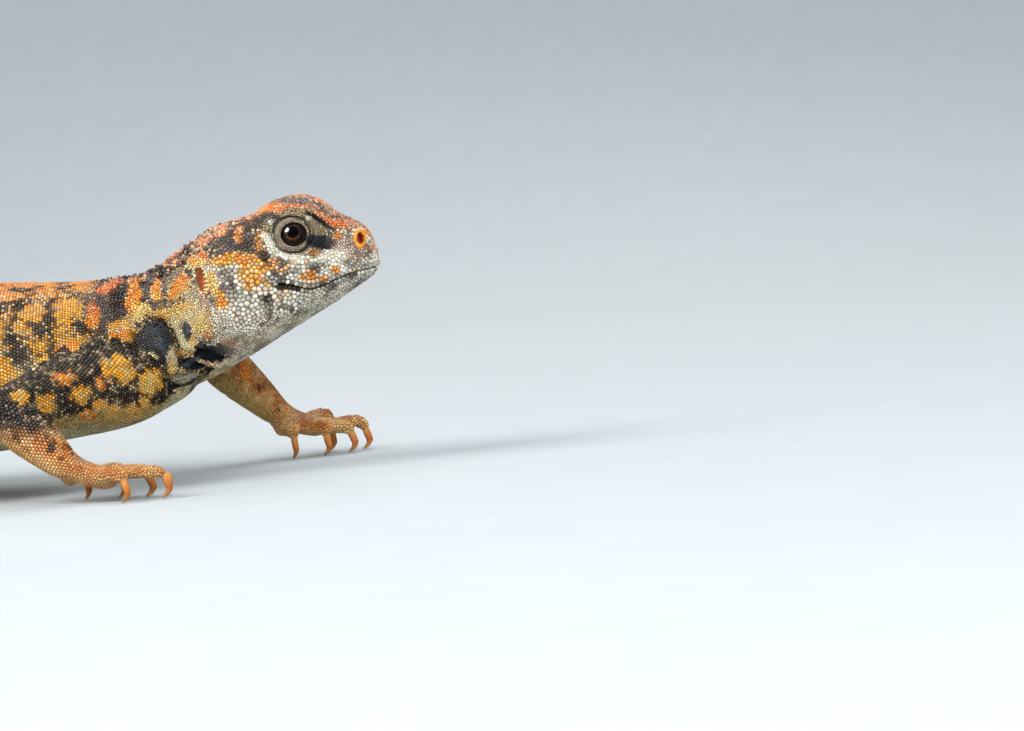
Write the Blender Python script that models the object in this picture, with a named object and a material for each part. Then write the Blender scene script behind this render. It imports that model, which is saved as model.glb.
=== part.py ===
"""A spiny-tailed lizard (uromastyx), life size, standing with its head raised.

Metres, +Z up, the snout towards +X and the animal's left towards +Y. It is modelled with the ear
opening at x = 0 and the floor at z = 0, and is then moved as a whole so that the origin is in the
middle of its bounding box, on the floor.
"""

import math
import random
from dataclasses import dataclass, replace

import bmesh
import bpy
from mathutils import Matrix, Vector
from mathutils.bvhtree import BVHTree

MM = 0.001
GAP = 0.3 * MM
UP = Vector((0, 0, 1))
RIGHT, LEFT = -1, 1
SIDE_NAMES = {RIGHT: "right", LEFT: "left"}

# Driving sizes along the body, from the ear opening at x = 0
SNOUT_X = 38.7 * MM
HEAD_END_X = -3.4 * MM
NECK_END_X = -11 * MM
VENT_X = -174 * MM
TAIL_TIP_X = -326 * MM

# Rings and points around each part of the body
HEAD_RINGS, HEAD_SIDES = 22, 32
NECK_RINGS, NECK_SIDES = 5, 28
TORSO_RINGS, TORSO_SIDES = 27, 26
TAIL_SIDES = 16

EYE_CENTRE = Vector((21.0, 8.5, 50.4)) * MM
EYE_RADIUS = 3.6 * MM
LID_RADIUS = 4.35 * MM
LID_OPENING = (2.65 * MM, 2.35 * MM)
EAR_CENTRE_XZ = (1.2 * MM, 42.3 * MM)
EAR_SIZE = (1.3 * MM, 2.4 * MM, 2.9 * MM)
EAR_LEAN = Matrix.Rotation(math.radians(-8), 3, "Y").to_quaternion()
LID_LENGTHENING = 1.04
LID_DEPTH = 0.9
NOSTRIL_XZ = (34.9 * MM, 48.7 * MM)
NOSTRIL_RIM = (1.25 * MM, 0.5 * MM)
NOSTRIL_HOLE = (0.62 * MM, 1.6 * MM, 0.95 * MM)
NOSTRIL_RIM_SUNK = 0.1 * MM
NOSTRIL_HOLE_OUT = 0.2 * MM
MOUTH_GROOVE = 0.42 * MM
MOUTH_FRONT_X = 37.6 * MM
MOUTH_STEPS = 12
HEAD_RINGS_CROWDING = 1.35
FAR_OUT = 60 * MM

# Lengthwise lines of the body in millimetres: x, then the value there
BACK_LINE = (
    (38.7, 44.9), (38.2, 47.6), (36.6, 50.7), (33.5, 53.0), (30.8, 54.4), (27, 57.7), (22, 59.1),
    (17, 58.3), (12, 55.7), (5, 54.0), (-1.2, 50.7), (-8, 46.6), (-14, 44.4), (-24, 44.2),
    (-48, 45.5), (-75, 45.8), (-102, 43.5), (-126, 38.5), (-146, 32.5), (-162, 26.5), (-178, 20.5),
    (-200, 17.6), (-232, 15.4), (-262, 12.4), (-292, 8.8), (-314, 5.4), (-326, 2.4),
)
BELLY_LINE = (
    (38.7, 43.1), (38, 41.5), (33.5, 38.4), (27.3, 34.8), (19.2, 30.6), (9.9, 25.6), (3.1, 22.4),
    (-2.6, 18.9), (-8.8, 15.8), (-15, 13.2), (-24, 11.4), (-48, 9.0), (-75, 6.6), (-102, 4.8),
    (-126, 3.4), (-146, 2.2), (-162, 1.2), (-178, 0.2), (-192, -0.5), (-326, -0.5),
)
HALF_WIDTH = (
    (38.7, 2.2), (38, 4.2), (36, 6.4), (33, 8.1), (28, 9.9), (23, 11.7), (18, 13.3), (12, 14.7),
    (5, 15.6), (0, 15.3), (-6, 14.6), (-12, 15.0), (-20, 17.6), (-32, 22), (-50, 28), (-75, 33.5),
    (-100, 35), (-125, 31.5), (-145, 24.5), (-160, 18.6), (-174, 14.6), (-184, 13.4), (-202, 13.2),
    (-232, 11.8), (-262, 9.4), (-292, 6.2), (-314, 3.4), (-326, 1.2),
)
WIDEST_LINE = (
    (38.7, 43.9), (33, 44.2), (26, 43), (18, 41), (10, 39.5), (0, 37), (-10, 31), (-20, 26.5),
    (-35, 23.5), (-60, 21.5), (-100, 18.5), (-130, 14.5), (-150, 11.5), (-174, 8.5), (-200, 7),
    (-250, 5.5), (-300, 3.2), (-326, 1),
)
# Superellipse powers: 2 is an ellipse, more is squarer
UPPER_POWER = ((38.7, 2.2), (31, 2.5), (22, 3.0), (8, 2.6), (-10, 2.1), (-60, 2.0), (-150, 2.1), (-326, 2.3))
LOWER_POWER = ((38.7, 2.2), (20, 2.3), (0, 2.2), (-30, 2.3), (-100, 2.6), (-180, 2.6), (-326, 2.2))
# The backbone's swing to the left in plan
SWAY_LINE = ((38.7, 0), (0, 0), (-40, 0.8), (-100, 3), (-160, 1.5), (-210, -3.5), (-270, -13), (-326, -27))


@dataclass(frozen=True)
class Swell:
    """A soft rise or hollow of the flesh, the same on both sides, in millimetres."""

    centre: tuple
    reach: tuple
    push: tuple


SWELLS = {
    "brow ridge": Swell((20.5, 10.6, 55.2), (7.5, 3.2, 2.2), (0, 1.3, 0.5)),
    "canthus": Swell((29.5, 7.6, 51.8), (4, 2.4, 1.8), (0, 0.5, 0.3)),
    "orbit": Swell((21, 12.5, 50.2), (5.0, 6.0, 4.2), (0, -1.2, 0)),
    "lore": Swell((28.2, 9.6, 46.4), (3.6, 5.0, 2.6), (0, -0.8, 0)),
    "cheekbone": Swell((20.5, 13.4, 43.6), (7.5, 5.0, 2.4), (0, 0.8, 0)),
    "jowl": Swell((7.2, 15.6, 35.5), (7.5, 6.0, 6.5), (0, 1.5, 0)),
    "temple": Swell((9, 12.4, 50.0), (6, 4.5, 3.5), (0, 0.7, 0.2)),
    "ear recess": Swell((0.8, 15.2, 42), (2.6, 5.0, 4.6), (0, -1.2, 0)),
    "neck hollow": Swell((-4.6, 14.0, 33), (2.6, 6.0, 9.0), (0, -1.4, 0)),
    "neck fold": Swell((-9.5, 14.6, 31), (2.6, 6.0, 8.5), (0, 1.5, 0)),
    "gular fold": Swell((-1.5, 0, 19.5), (2.2, 11.0, 4.5), (0, 0, 1.4)),
    "shoulder blade": Swell((-22, 14.0, 39), (8, 6.0, 5.0), (0, 1.3, 0.7)),
    "breast": Swell((-17, 9.0, 13), (7, 6.0, 4.5), (0, 0.8, -0.6)),
    "flank fold": Swell((-96, 33.0, 12), (48, 6.0, 3.6), (0, 1.5, -0.3)),
    "hip": Swell((-158, 15.0, 21), (10, 7.0, 6.0), (0, 1.2, 0.8)),
}

MOUTH_LINE = ((15, 40.4), (18, 40.5), (21.9, 39.3), (24.2, 38.9), (28.3, 40.1), (32.6, 41.5), (38.7, 42.5))

# Legs: the root inside the body, then the joints, on the right side and on the left
FORELEG_JOINTS = {
    RIGHT: ((-15, -9, 22.8), (-38.5, -35, 19.5), (-27.5, -40, 8.6)),
    LEFT: ((-15, 9, 23.5), (-2.5, 34.5, 25), (10.2, 41, 11)),
}
HINDLEG_JOINTS = {
    RIGHT: ((-158, -7, 15), (-134, -45, 17), (-157, -59, 8.6)),
    LEFT: ((-158, 8, 15), (-143, 49, 17), (-167, 61, 8.6)),
}
# Half-widths and half-heights along each length, in millimetres
UPPER_ARM_SIZES = ((9.2, 9.6), (8.4, 8.6), (6.8, 6.8), (5.4, 5.4))
FOREARM_SIZES = ((5.2, 5.2), (5.6, 5.4), (4.8, 4.6), (3.9, 3.6))
THIGH_SIZES = ((12.0, 11.2), (12.0, 10.4), (9.4, 8.4), (6.8, 6.8))
SHANK_SIZES = ((5.6, 5.6), (7.0, 6.6), (5.4, 5.0), (4.2, 3.7))
LIMB_SIDES = 10
LIMB_BEND = (0.66, 0.33)


@dataclass(frozen=True)
class Digit:
    """A toe: its angle from the foot's heading, inner side negative, its length past the palm and its radius.

    Then how far behind the palm's front it starts, and how high its knuckle stands.
    """

    angle: float
    length: float
    radius: float
    back: float = 2.4
    knuckle_rise: float = 7.0


@dataclass(frozen=True)
class Foot:
    """The sizes of one kind of foot, in millimetres."""

    palm_length: float
    palm_half_width: float
    palm_half_height: float
    palm_rise: float
    wrist_half_width: float
    claw_length: float
    claw_radius: float
    digits: tuple


FOREFOOT = Foot(
    palm_length=8.0,
    palm_half_width=4.7,
    palm_half_height=2.5,
    palm_rise=6.7,
    wrist_half_width=3.9,
    claw_length=6.2,
    claw_radius=1.1,
    digits=(
        Digit(-60, 5.2, 1.65, 7.8, 6.4),
        Digit(-35, 5.8, 1.7, 3.6, 6.5),
        Digit(-6, 8.6, 1.7, 2.4, 5.8),
        Digit(20, 12.8, 1.55, 2.4, 6.7),
        Digit(42, 9.2, 1.65, 4.5, 9.0),
    ),
)
# The right forefoot stands lower on its toes, with these knuckles
LOW_KNUCKLES = (6.4, 6.2, 5.8, 5.8, 6.0)
FOREFEET = {
    LEFT: FOREFOOT,
    RIGHT: replace(
        FOREFOOT,
        palm_rise=4.8,
        digits=tuple(replace(toe, knuckle_rise=rise) for toe, rise in zip(FOREFOOT.digits, LOW_KNUCKLES)),
    ),
}
HINDFOOT = Foot(
    palm_length=10.0,
    palm_half_width=5.6,
    palm_half_height=3.2,
    palm_rise=3.0,
    wrist_half_width=4.0,
    claw_length=6.2,
    claw_radius=1.1,
    digits=(
        Digit(-44, 6.6, 1.7),
        Digit(-21, 11.0, 1.7),
        Digit(0, 14.6, 1.7),
        Digit(18, 16.8, 1.65),
        Digit(48, 10.6, 1.6),
    ),
)
FOOT_HEADINGS = {
    ("fore", RIGHT): 4, ("fore", LEFT): 2,
    ("hind", RIGHT): -38, ("hind", LEFT): 42,
}
# The palm: its sag in millimetres, and its shares of width and height at the wrist and at the middle
PALM_SAG = 0.3
PALM_SHARES = (0.86, 0.9)
# A toe: how far out it starts and how much of it is buried, in millimetres.
# Then its middle and knuckle as shares of its length and rise, its thickness, and its tip's height as a share
# of the claw's length.
TOE_OUT, TOE_BURIED = 0.8, 2.0
TOE_MIDDLE = (0.48, 0.8)
TOE_KNUCKLE = (0.9, 0.78)
TOE_SHARES = (1.12, 1.0, 1.1, 0.88)
TOE_TIP_HEIGHT = 0.72
DIGIT_SIDES = 7
CLAW_SIDES = 5
# A claw's outline past its first stretch: how far out, how far down and how thick, as shares
CLAW_START = (0.2, 0.96)
CLAW_PROFILE = ((0.05, 0.3, 0.86), (-0.02, 0.66, 0.6), (-0.24, 1, 0.16))
CLAW_WIDTH = 0.8
CLAW_LOW = 0.12

# Tail whorls: rings of keeled spines over the top and sides. Each length of tail starts just ahead of one.
WHORL_COUNT = 21
WHORLS_X = (-176.5 * MM, -320 * MM)
WHORLS_CROWDING = 0.94
TAIL_PART_WHORLS = (0, 7, 13)
WHORL_LEAD = 1.8 * MM
SPINE_PITCH = 4.57 * MM
SPINE_TAPER = 0.6
LEAST_SPINES = 5
TAIL_RING_STEP = 6 * MM
SPINE_ARC = math.radians(100)
SPINE_TILT = math.radians(22)
SPINE_SIZE = (2.3 * MM, 1.6 * MM, 7.4 * MM)
SPINE_SUNK = 0.8 * MM
SPINE_TIP = 0.1

SKIN_COLOURS = {
    "head": (0.56, 0.36, 0.20),
    "neck": (0.44, 0.32, 0.19),
    "torso": (0.30, 0.23, 0.15),
    "tail": (0.34, 0.27, 0.18),
    "leg": (0.52, 0.31, 0.14),
    "foot": (0.56, 0.30, 0.12),
}
EYE_COLOUR = (0.03, 0.018, 0.014)
CLAW_COLOUR = (0.24, 0.13, 0.06)
SKIN_ROUGHNESS, EYE_ROUGHNESS, CLAW_ROUGHNESS = 0.6, 0.08, 0.35


def clear_scene():
    for obj in list(bpy.data.objects):
        bpy.data.objects.remove(obj)


def line_value(line, x):
    """The value at x, in metres, of a lengthwise line given in millimetres, by a monotone cubic."""
    points = [(a * MM, b * MM) for a, b in sorted(line)]
    x = min(max(x, points[0][0]), points[-1][0])
    index = next(i for i in range(len(points) - 1) if x <= points[i + 1][0])
    slopes = [(q[1] - p[1]) / (q[0] - p[0]) for p, q in zip(points, points[1:])]

    def tangent(i):
        if i in (0, len(points) - 1):
            return slopes[0] if i == 0 else slopes[-1]
        before, after = slopes[i - 1], slopes[i]
        return 0 if before * after <= 0 else 2 * before * after / (before + after)

    (x0, y0), (x1, y1) = points[index], points[index + 1]
    width = x1 - x0
    t = (x - x0) / width
    return (
        (2 * t**3 - 3 * t**2 + 1) * y0
        + (t**3 - 2 * t**2 + t) * width * tangent(index)
        + (3 * t**2 - 2 * t**3) * y1
        + (t**3 - t**2) * width * tangent(index + 1)
    )


def swelled(point):
    """The point moved by every swell near it. The swells are mirrored to the point's own side."""
    side = 1 if point.y >= 0 else -1
    moved = point.copy()
    for swell in SWELLS.values():
        away = [
            (value - centre * MM) / (reach * MM)
            for value, centre, reach in zip((point.x, abs(point.y), point.z), swell.centre, swell.reach)
        ]
        weight = math.exp(-sum(a * a for a in away))
        push = Vector((swell.push[0], side * swell.push[1], swell.push[2])) * MM
        moved += push * weight
    return moved


def body_ring(x, sides):
    """The points around the body at x, from the middle of the back round by the left side."""
    top, bottom = line_value(BACK_LINE, x), line_value(BELLY_LINE, x)
    half, widest = line_value(HALF_WIDTH, x), line_value(WIDEST_LINE, x)
    upper, lower = line_value(UPPER_POWER, x) / MM, line_value(LOWER_POWER, x) / MM
    ring = []
    for step in range(sides):
        angle = 2 * math.pi * step / sides
        across, along = math.sin(angle), math.cos(angle)
        power = 2 / (upper if along >= 0 else lower)
        height = top - widest if along >= 0 else widest - bottom
        y = half * math.copysign(abs(across) ** power, across)
        z = widest + height * math.copysign(abs(along) ** power, along)
        point = swelled(Vector((x, y, z)))
        point.y += line_value(SWAY_LINE, x)
        ring.append(point)
    return ring


def material(name, colour, roughness, metallic=0.0):
    made = bpy.data.materials.get(name) or bpy.data.materials.new(name)
    made.use_nodes = True
    shader = made.node_tree.nodes["Principled BSDF"]
    shader.inputs["Base Color"].default_value = (*colour, 1)
    shader.inputs["Roughness"].default_value = roughness
    shader.inputs["Metallic"].default_value = metallic
    return made


def object_of(name, mesh_builder):
    """A linked object whose mesh is filled by mesh_builder(bmesh) and given outward normals."""
    shape = bmesh.new()
    mesh_builder(shape)
    bmesh.ops.recalc_face_normals(shape, faces=shape.faces)
    mesh = bpy.data.meshes.new(name)
    shape.to_mesh(mesh)
    shape.free()
    mesh.shade_smooth()
    obj = bpy.data.objects.new(name, mesh)
    bpy.context.scene.collection.objects.link(obj)
    return obj


def loft(name, rings):
    """A closed body through rings of equal count, with flat caps at both ends."""

    def build(shape):
        rows = [[shape.verts.new(point) for point in ring] for ring in rings]
        for row, following in zip(rows, rows[1:]):
            for i in range(len(row)):
                j = (i + 1) % len(row)
                shape.faces.new((row[i], row[j], following[j], following[i]))
        shape.faces.new(rows[0])
        shape.faces.new(reversed(rows[-1]))

    return object_of(name, build)


def curved(points, steps):
    """Catmull-Rom points through vectors of any size, with this many steps for each stretch."""
    ends = [points[0] * 2 - points[1], *points, points[-1] * 2 - points[-2]]
    found = []
    for a, b, c, d in zip(ends, ends[1:], ends[2:], ends[3:]):
        for step in range(steps):
            t = step / steps
            square = a * 2 - b * 5 + c * 4 - d
            cube = b * 3 - a - c * 3 + d
            found.append((b * 2 + (c - a) * t + square * t**2 + cube * t**3) / 2)
    return [*found, points[-1]]


def section_rings(path, sizes, sides, rounded=(False, False), across=None):
    """Oval rings square to a path. A rounded end gets two more rings that close it as a dome.

    The ovals' width lies across the path and level, or along the given direction.
    """
    rings = []
    last = len(path) - 1
    level = across
    for i, (centre, (half_width, half_height)) in enumerate(zip(path, sizes)):
        forward = (path[min(i + 1, last)] - path[max(i - 1, 0)]).normalized()
        across = level or UP.cross(forward).normalized()
        lift = forward.cross(across)
        ovals = [(0, 1)]
        if i == 0 and rounded[0]:
            ovals = [(-0.85, 0.4), (-0.5, 0.8), (0, 1)]
        if i == last and rounded[1]:
            ovals = [(0, 1), (0.5, 0.8), (0.85, 0.4)]
        for ahead, share in ovals:
            middle = centre + forward * ahead * (half_width + half_height) / 2
            rings.append(
                [
                    middle
                    + across * math.cos(2 * math.pi * k / sides) * half_width * share
                    + lift * math.sin(2 * math.pi * k / sides) * half_height * share
                    for k in range(sides)
                ]
            )
    return rings


def settle_on_floor(obj):
    """Presses whatever hangs below the floor flat onto it."""
    for vertex in obj.data.vertices:
        vertex.co.z = max(vertex.co.z, 0.0)


def boolean(obj, other, operation):
    """Applies a Boolean with another object, or with all the objects of a collection.

    The exact solver is tried first, and the manifold one where its result isn't closed.
    """
    source = obj.data
    for solver in ("EXACT", "MANIFOLD"):
        modifier = obj.modifiers.new("join", "BOOLEAN")
        modifier.operation = operation
        modifier.solver = solver
        if isinstance(other, bpy.types.Collection):
            modifier.operand_type = "COLLECTION"
            modifier.collection = other
        else:
            modifier.object = other
        bpy.context.view_layer.update()
        graph = bpy.context.evaluated_depsgraph_get()
        result = bpy.data.meshes.new_from_object(obj.evaluated_get(graph))
        obj.modifiers.clear()
        obj.data = result
        if keep_largest(obj):
            return
        obj.data = source


def keep_largest(obj):
    """Leaves only the surface with the most faces, and tells whether it is a closed body."""
    shape = bmesh.new()
    shape.from_mesh(obj.data)
    unseen, islands = set(shape.faces), []
    while unseen:
        island, edge = set(), [unseen.pop()]
        while edge:
            face = edge.pop()
            island.add(face)
            near = {n for e in face.edges for n in e.link_faces} & unseen
            unseen -= near
            edge.extend(near)
        islands.append(island)
    islands.sort(key=len)
    loose = [face for island in islands[:-1] for face in island]
    bmesh.ops.delete(shape, geom=loose, context="FACES")
    bmesh.ops.recalc_face_normals(shape, faces=shape.faces)
    closed = len(shape.faces) > 3 and all(edge.is_manifold for edge in shape.edges)
    shape.to_mesh(obj.data)
    shape.free()
    return closed


def join_pieces(core, pieces):
    """Fuses the pieces into the core with one union, and removes them."""
    group = bpy.data.collections.new("pieces")
    bpy.context.scene.collection.children.link(group)
    for piece in pieces:
        for holder in list(piece.users_collection):
            holder.objects.unlink(piece)
        group.objects.link(piece)
    boolean(core, group, "UNION")
    for piece in pieces:
        bpy.data.objects.remove(piece)
    bpy.data.collections.remove(group)


def cut_away(obj, cutter):
    boolean(obj, cutter, "DIFFERENCE")
    bpy.data.objects.remove(cutter)


def clear_of(obj, neighbour):
    """Cuts the object back from a neighbour that it grows from, leaving the gap between them."""
    swollen = neighbour.copy()
    swollen.data = neighbour.data.copy()
    bpy.context.scene.collection.objects.link(swollen)
    swell = swollen.modifiers.new("gap", "DISPLACE")
    swell.strength = GAP * 1.1
    swell.mid_level = 0
    cut_away(obj, swollen)


def ellipsoid(name, centre, radii, rotation=None, segments=16, rings=10):
    def build(shape):
        bmesh.ops.create_uvsphere(shape, u_segments=segments, v_segments=rings, radius=1)
        matrix = Matrix.LocRotScale(centre, rotation, radii)
        bmesh.ops.transform(shape, matrix=matrix, verts=shape.verts)

    return object_of(name, build)


def torus(name, centre, axis, major, minor, sides=(14, 8)):
    """A ring around an axis, as a lofted circle of small circles closed on itself."""
    turn = axis.to_track_quat("Z", "Y")

    def build(shape):
        rows = []
        for i in range(sides[0]):
            a = 2 * math.pi * i / sides[0]
            row = []
            for k in range(sides[1]):
                b = 2 * math.pi * k / sides[1]
                reach = major + minor * math.cos(b)
                local = Vector((reach * math.cos(a), reach * math.sin(a), minor * math.sin(b)))
                row.append(shape.verts.new(centre + turn @ local))
            rows.append(row)
        for row, following in zip(rows, rows[1:] + rows[:1]):
            for k in range(sides[1]):
                j = (k + 1) % sides[1]
                shape.faces.new((row[k], row[j], following[j], following[k]))

    return object_of(name, build)


def touch(obj, origin, direction):
    """Where a ray from outside meets the object, and the outward normal there."""
    tree = BVHTree.FromObject(obj, bpy.context.evaluated_depsgraph_get())
    point, normal, _, _ = tree.ray_cast(origin, direction)
    return point, normal


def mirrored(point, side):
    return Vector((point.x, point.y * side, point.z))


def build_head():
    length = SNOUT_X - HEAD_END_X
    stations = [SNOUT_X - length * (i / (HEAD_RINGS - 1)) ** HEAD_RINGS_CROWDING for i in range(HEAD_RINGS)]
    head = loft("head", [body_ring(x, HEAD_SIDES) for x in stations])
    groove = mouth_groove(head)
    nostrils = {side: touch_side(head, NOSTRIL_XZ, side) for side in (RIGHT, LEFT)}
    ears = {side: touch_side(head, EAR_CENTRE_XZ, side)[0] for side in (RIGHT, LEFT)}

    raised = []
    for side in (RIGHT, LEFT):
        centre = mirrored(EYE_CENTRE, side)
        lids = Vector((LID_LENGTHENING, 1, 1)) * LID_RADIUS
        raised.append(ellipsoid("lids", centre, lids, segments=16, rings=12))
        point, normal = nostrils[side]
        raised.append(torus("nostril rim", point - normal * NOSTRIL_RIM_SUNK, normal, *NOSTRIL_RIM))
    join_pieces(head, raised)

    for side in (RIGHT, LEFT):
        centre = mirrored(EYE_CENTRE, side)
        socket = ellipsoid("socket", centre, Vector((1, 1, 1)) * (EYE_RADIUS + GAP))
        outward = centre + Vector((0, side * LID_RADIUS, 0))
        opening = Vector((LID_OPENING[0], LID_RADIUS * LID_DEPTH, LID_OPENING[1]))
        join_pieces(socket, [ellipsoid("eye opening", outward, opening, segments=14, rings=8)])
        cut_away(head, socket)
        point, normal = nostrils[side]
        turn = normal.to_track_quat("Y", "Z")
        hole = point + normal * NOSTRIL_HOLE_OUT
        cut_away(head, ellipsoid("nostril", hole, Vector(NOSTRIL_HOLE), turn, 10, 6))
        cut_away(head, ellipsoid("ear cup", ears[side], Vector(EAR_SIZE), EAR_LEAN, 12, 8))
    cut_away(head, groove)
    return head


def touch_side(obj, place, side):
    """Where the object's side is touched at (x, z), and the normal there."""
    x, z = place
    return touch(obj, Vector((x, side * FAR_OUT, z)), Vector((0, -side, 0)))


def mouth_groove(head):
    """A cutter along the line of the mouth, from corner to corner round the snout."""
    corner, front = MOUTH_LINE[0][0] * MM, MOUTH_FRONT_X
    points = []
    for side in (RIGHT, LEFT):
        half = []
        for i in range(MOUTH_STEPS):
            x = corner + (front - corner) * i / (MOUTH_STEPS - 1)
            half.append(touch_side(head, (x, line_value(MOUTH_LINE, x)), side)[0])
        points += half if side == RIGHT else [middle_of_lips(head), *reversed(half)]
    curve = bpy.data.curves.new("mouth", "CURVE")
    curve.dimensions = "3D"
    curve.bevel_depth = MOUTH_GROOVE
    curve.bevel_resolution = 1
    curve.use_fill_caps = True
    spline = curve.splines.new("POLY")
    spline.points.add(len(points) - 1)
    for spot, point in zip(spline.points, points):
        spot.co = (*point, 1)
    source = bpy.data.objects.new("mouth", curve)
    bpy.context.scene.collection.objects.link(source)
    bpy.context.view_layer.update()
    mesh = bpy.data.meshes.new_from_object(source.evaluated_get(bpy.context.evaluated_depsgraph_get()))
    bpy.data.objects.remove(source)
    groove = bpy.data.objects.new("mouth", mesh)
    bpy.context.scene.collection.objects.link(groove)
    shape = bmesh.new()
    shape.from_mesh(mesh)
    bmesh.ops.remove_doubles(shape, verts=shape.verts, dist=0.01 * MM)
    bmesh.ops.recalc_face_normals(shape, faces=shape.faces)
    shape.to_mesh(mesh)
    shape.free()
    return groove


def middle_of_lips(head):
    level = line_value(MOUTH_LINE, SNOUT_X)
    return touch(head, Vector((SNOUT_X * 2, 0, level)), Vector((-1, 0, 0)))[0]


def build_eye(side):
    turn = Vector((0, side, 0)).to_track_quat("Z", "Y")
    size = Vector((1, 1, 1)) * EYE_RADIUS
    return ellipsoid(f"eye_{SIDE_NAMES[side]}", mirrored(EYE_CENTRE, side), size, turn, 14, 10)


def build_trunk(name, start, end, rings, sides):
    """A length of the neck, torso or tail, drawn in by half the gap at both ends."""
    start, end = start - GAP / 2, end + GAP / 2
    stations = [start + (end - start) * i / (rings - 1) for i in range(rings)]
    return loft(name, [body_ring(x, sides) for x in stations])


def limb_part(name, start, end, sizes, bend):
    """One length of a leg, thickest in its flesh, with rounded ends."""
    middle = (start + end) / 2 + bend
    path = curved([start, start.lerp(middle, LIMB_BEND[0]), middle.lerp(end, LIMB_BEND[1]), end], 2)
    shares = curved([Vector(size) * MM for size in sizes], 2)
    return loft(name, section_rings(path, shares, LIMB_SIDES, (True, True)))


def build_leg(kind, side, joints, sizes, foot, parents):
    """The upper and lower leg, the foot and its claws, each cut clear of what it grows from."""
    root, knee, ankle = (Vector(joint) * MM for joint in joints)
    words = ("upper", "lower") if kind == "fore" else ("thigh", "shank")
    name = f"{kind}leg_{SIDE_NAMES[side]}"
    upper = limb_part(f"{name}_{words[0]}", root, knee, sizes[0], Vector((0, 0, 1)) * MM)
    lower = limb_part(f"{name}_{words[1]}", knee, ankle, sizes[1], Vector((0, side, 0)) * MM)
    for parent in parents:
        clear_of(upper, parent)
    clear_of(lower, upper)
    sole, claws = build_foot(kind, side, ankle, foot)
    clear_of(sole, lower)
    return [upper, lower], [sole], claws


def build_foot(kind, side, ankle, foot):
    """A foot that slopes down from the raised wrist or ankle to its pad, with arched toes."""
    heading = math.radians(FOOT_HEADINGS[kind, side])
    ahead = Vector((math.cos(heading), math.sin(heading), 0))
    wide, high = foot.palm_half_width * MM, foot.palm_half_height * MM
    front = Vector((ankle.x, ankle.y, 0)) + ahead * foot.palm_length * MM + UP * foot.palm_rise * MM
    slope = ankle.lerp(front, 0.5) - UP * PALM_SAG * MM
    path = curved([ankle, slope, front], 3)
    narrow = foot.wrist_half_width * MM
    low, broad = PALM_SHARES
    sizes = [Vector((narrow, narrow * low)), Vector((wide * broad, high)), Vector((wide, high))]
    name = f"{kind}foot_{SIDE_NAMES[side]}"
    palm = loft(name, section_rings(path, curved(sizes, 3), LIMB_SIDES, (True, True)))

    toes, claws = [], []
    for number, digit in enumerate(foot.digits, 1):
        angle = heading + side * math.radians(digit.angle)
        toe, claw = build_digit(f"{name}_{number}", front, ahead, angle, digit, foot)
        toes.append(toe)
        claws.append(claw)
    join_pieces(palm, toes)
    settle_on_floor(palm)
    return palm, claws


def build_digit(name, front, ahead, angle, digit, foot):
    """One arched toe from inside the palm, and its claw, which starts at the toe's flat end."""
    out = Vector((math.cos(angle), math.sin(angle), 0))
    radius = digit.radius * MM
    start = front - ahead * digit.back * MM + out * TOE_OUT * MM
    length = (digit.length + TOE_BURIED) * MM
    rise = digit.knuckle_rise * MM - start.z
    arch = [start + out * length * along + UP * rise * up for along, up in (TOE_MIDDLE, TOE_KNUCKLE)]
    tip = start + out * length
    tip.z = foot.claw_length * MM * TOE_TIP_HEIGHT
    path = curved([start, *arch, tip], 2)
    sizes = curved([Vector((radius, radius)) * share for share in TOE_SHARES], 2)
    sideways = UP.cross(out)
    toe = loft("toe", section_rings(path, sizes, DIGIT_SIDES, across=sideways))

    down = (path[-1] - path[-2]).normalized()
    root = tip + down * GAP
    reach = foot.claw_length * MM
    bend = root + down * reach * CLAW_START[0]
    drop = UP * (bend.z - CLAW_LOW * MM)
    points = [root, bend, *(bend + out * reach * along - drop * fall for along, fall, _ in CLAW_PROFILE)]
    width = Vector((CLAW_WIDTH, 1)) * foot.claw_radius * MM
    shares = [1, CLAW_START[1], *(share for _, _, share in CLAW_PROFILE)]
    claw_sizes = [width * share for share in shares]
    claw = loft(f"claw_{name}", section_rings(points, claw_sizes, CLAW_SIDES, across=sideways))
    settle_on_floor(claw)
    return toe, claw


def whorl_x(whorl):
    first, last = WHORLS_X
    return first + (last - first) * (whorl / (WHORL_COUNT - 1)) ** WHORLS_CROWDING


def build_tail():
    """The lengths of the tail, each with its whorls of spines."""
    bounds = [VENT_X, *(whorl_x(whorl) + WHORL_LEAD for whorl in TAIL_PART_WHORLS[1:]), TAIL_TIP_X]
    whorls = [*TAIL_PART_WHORLS, WHORL_COUNT]
    lengths = []
    for part, (start, end) in enumerate(zip(bounds, bounds[1:])):
        rings = round((start - end) / TAIL_RING_STEP) + 1
        length = build_trunk(f"tail_{part + 1}", start, end, rings, TAIL_SIDES)
        settle_on_floor(length)
        chance = random.Random(part)
        spines = []
        for whorl in range(whorls[part], whorls[part + 1]):
            spines += whorl_spines(whorl, chance)
        join_pieces(length, spines)
        lengths.append(length)
    return lengths


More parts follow.
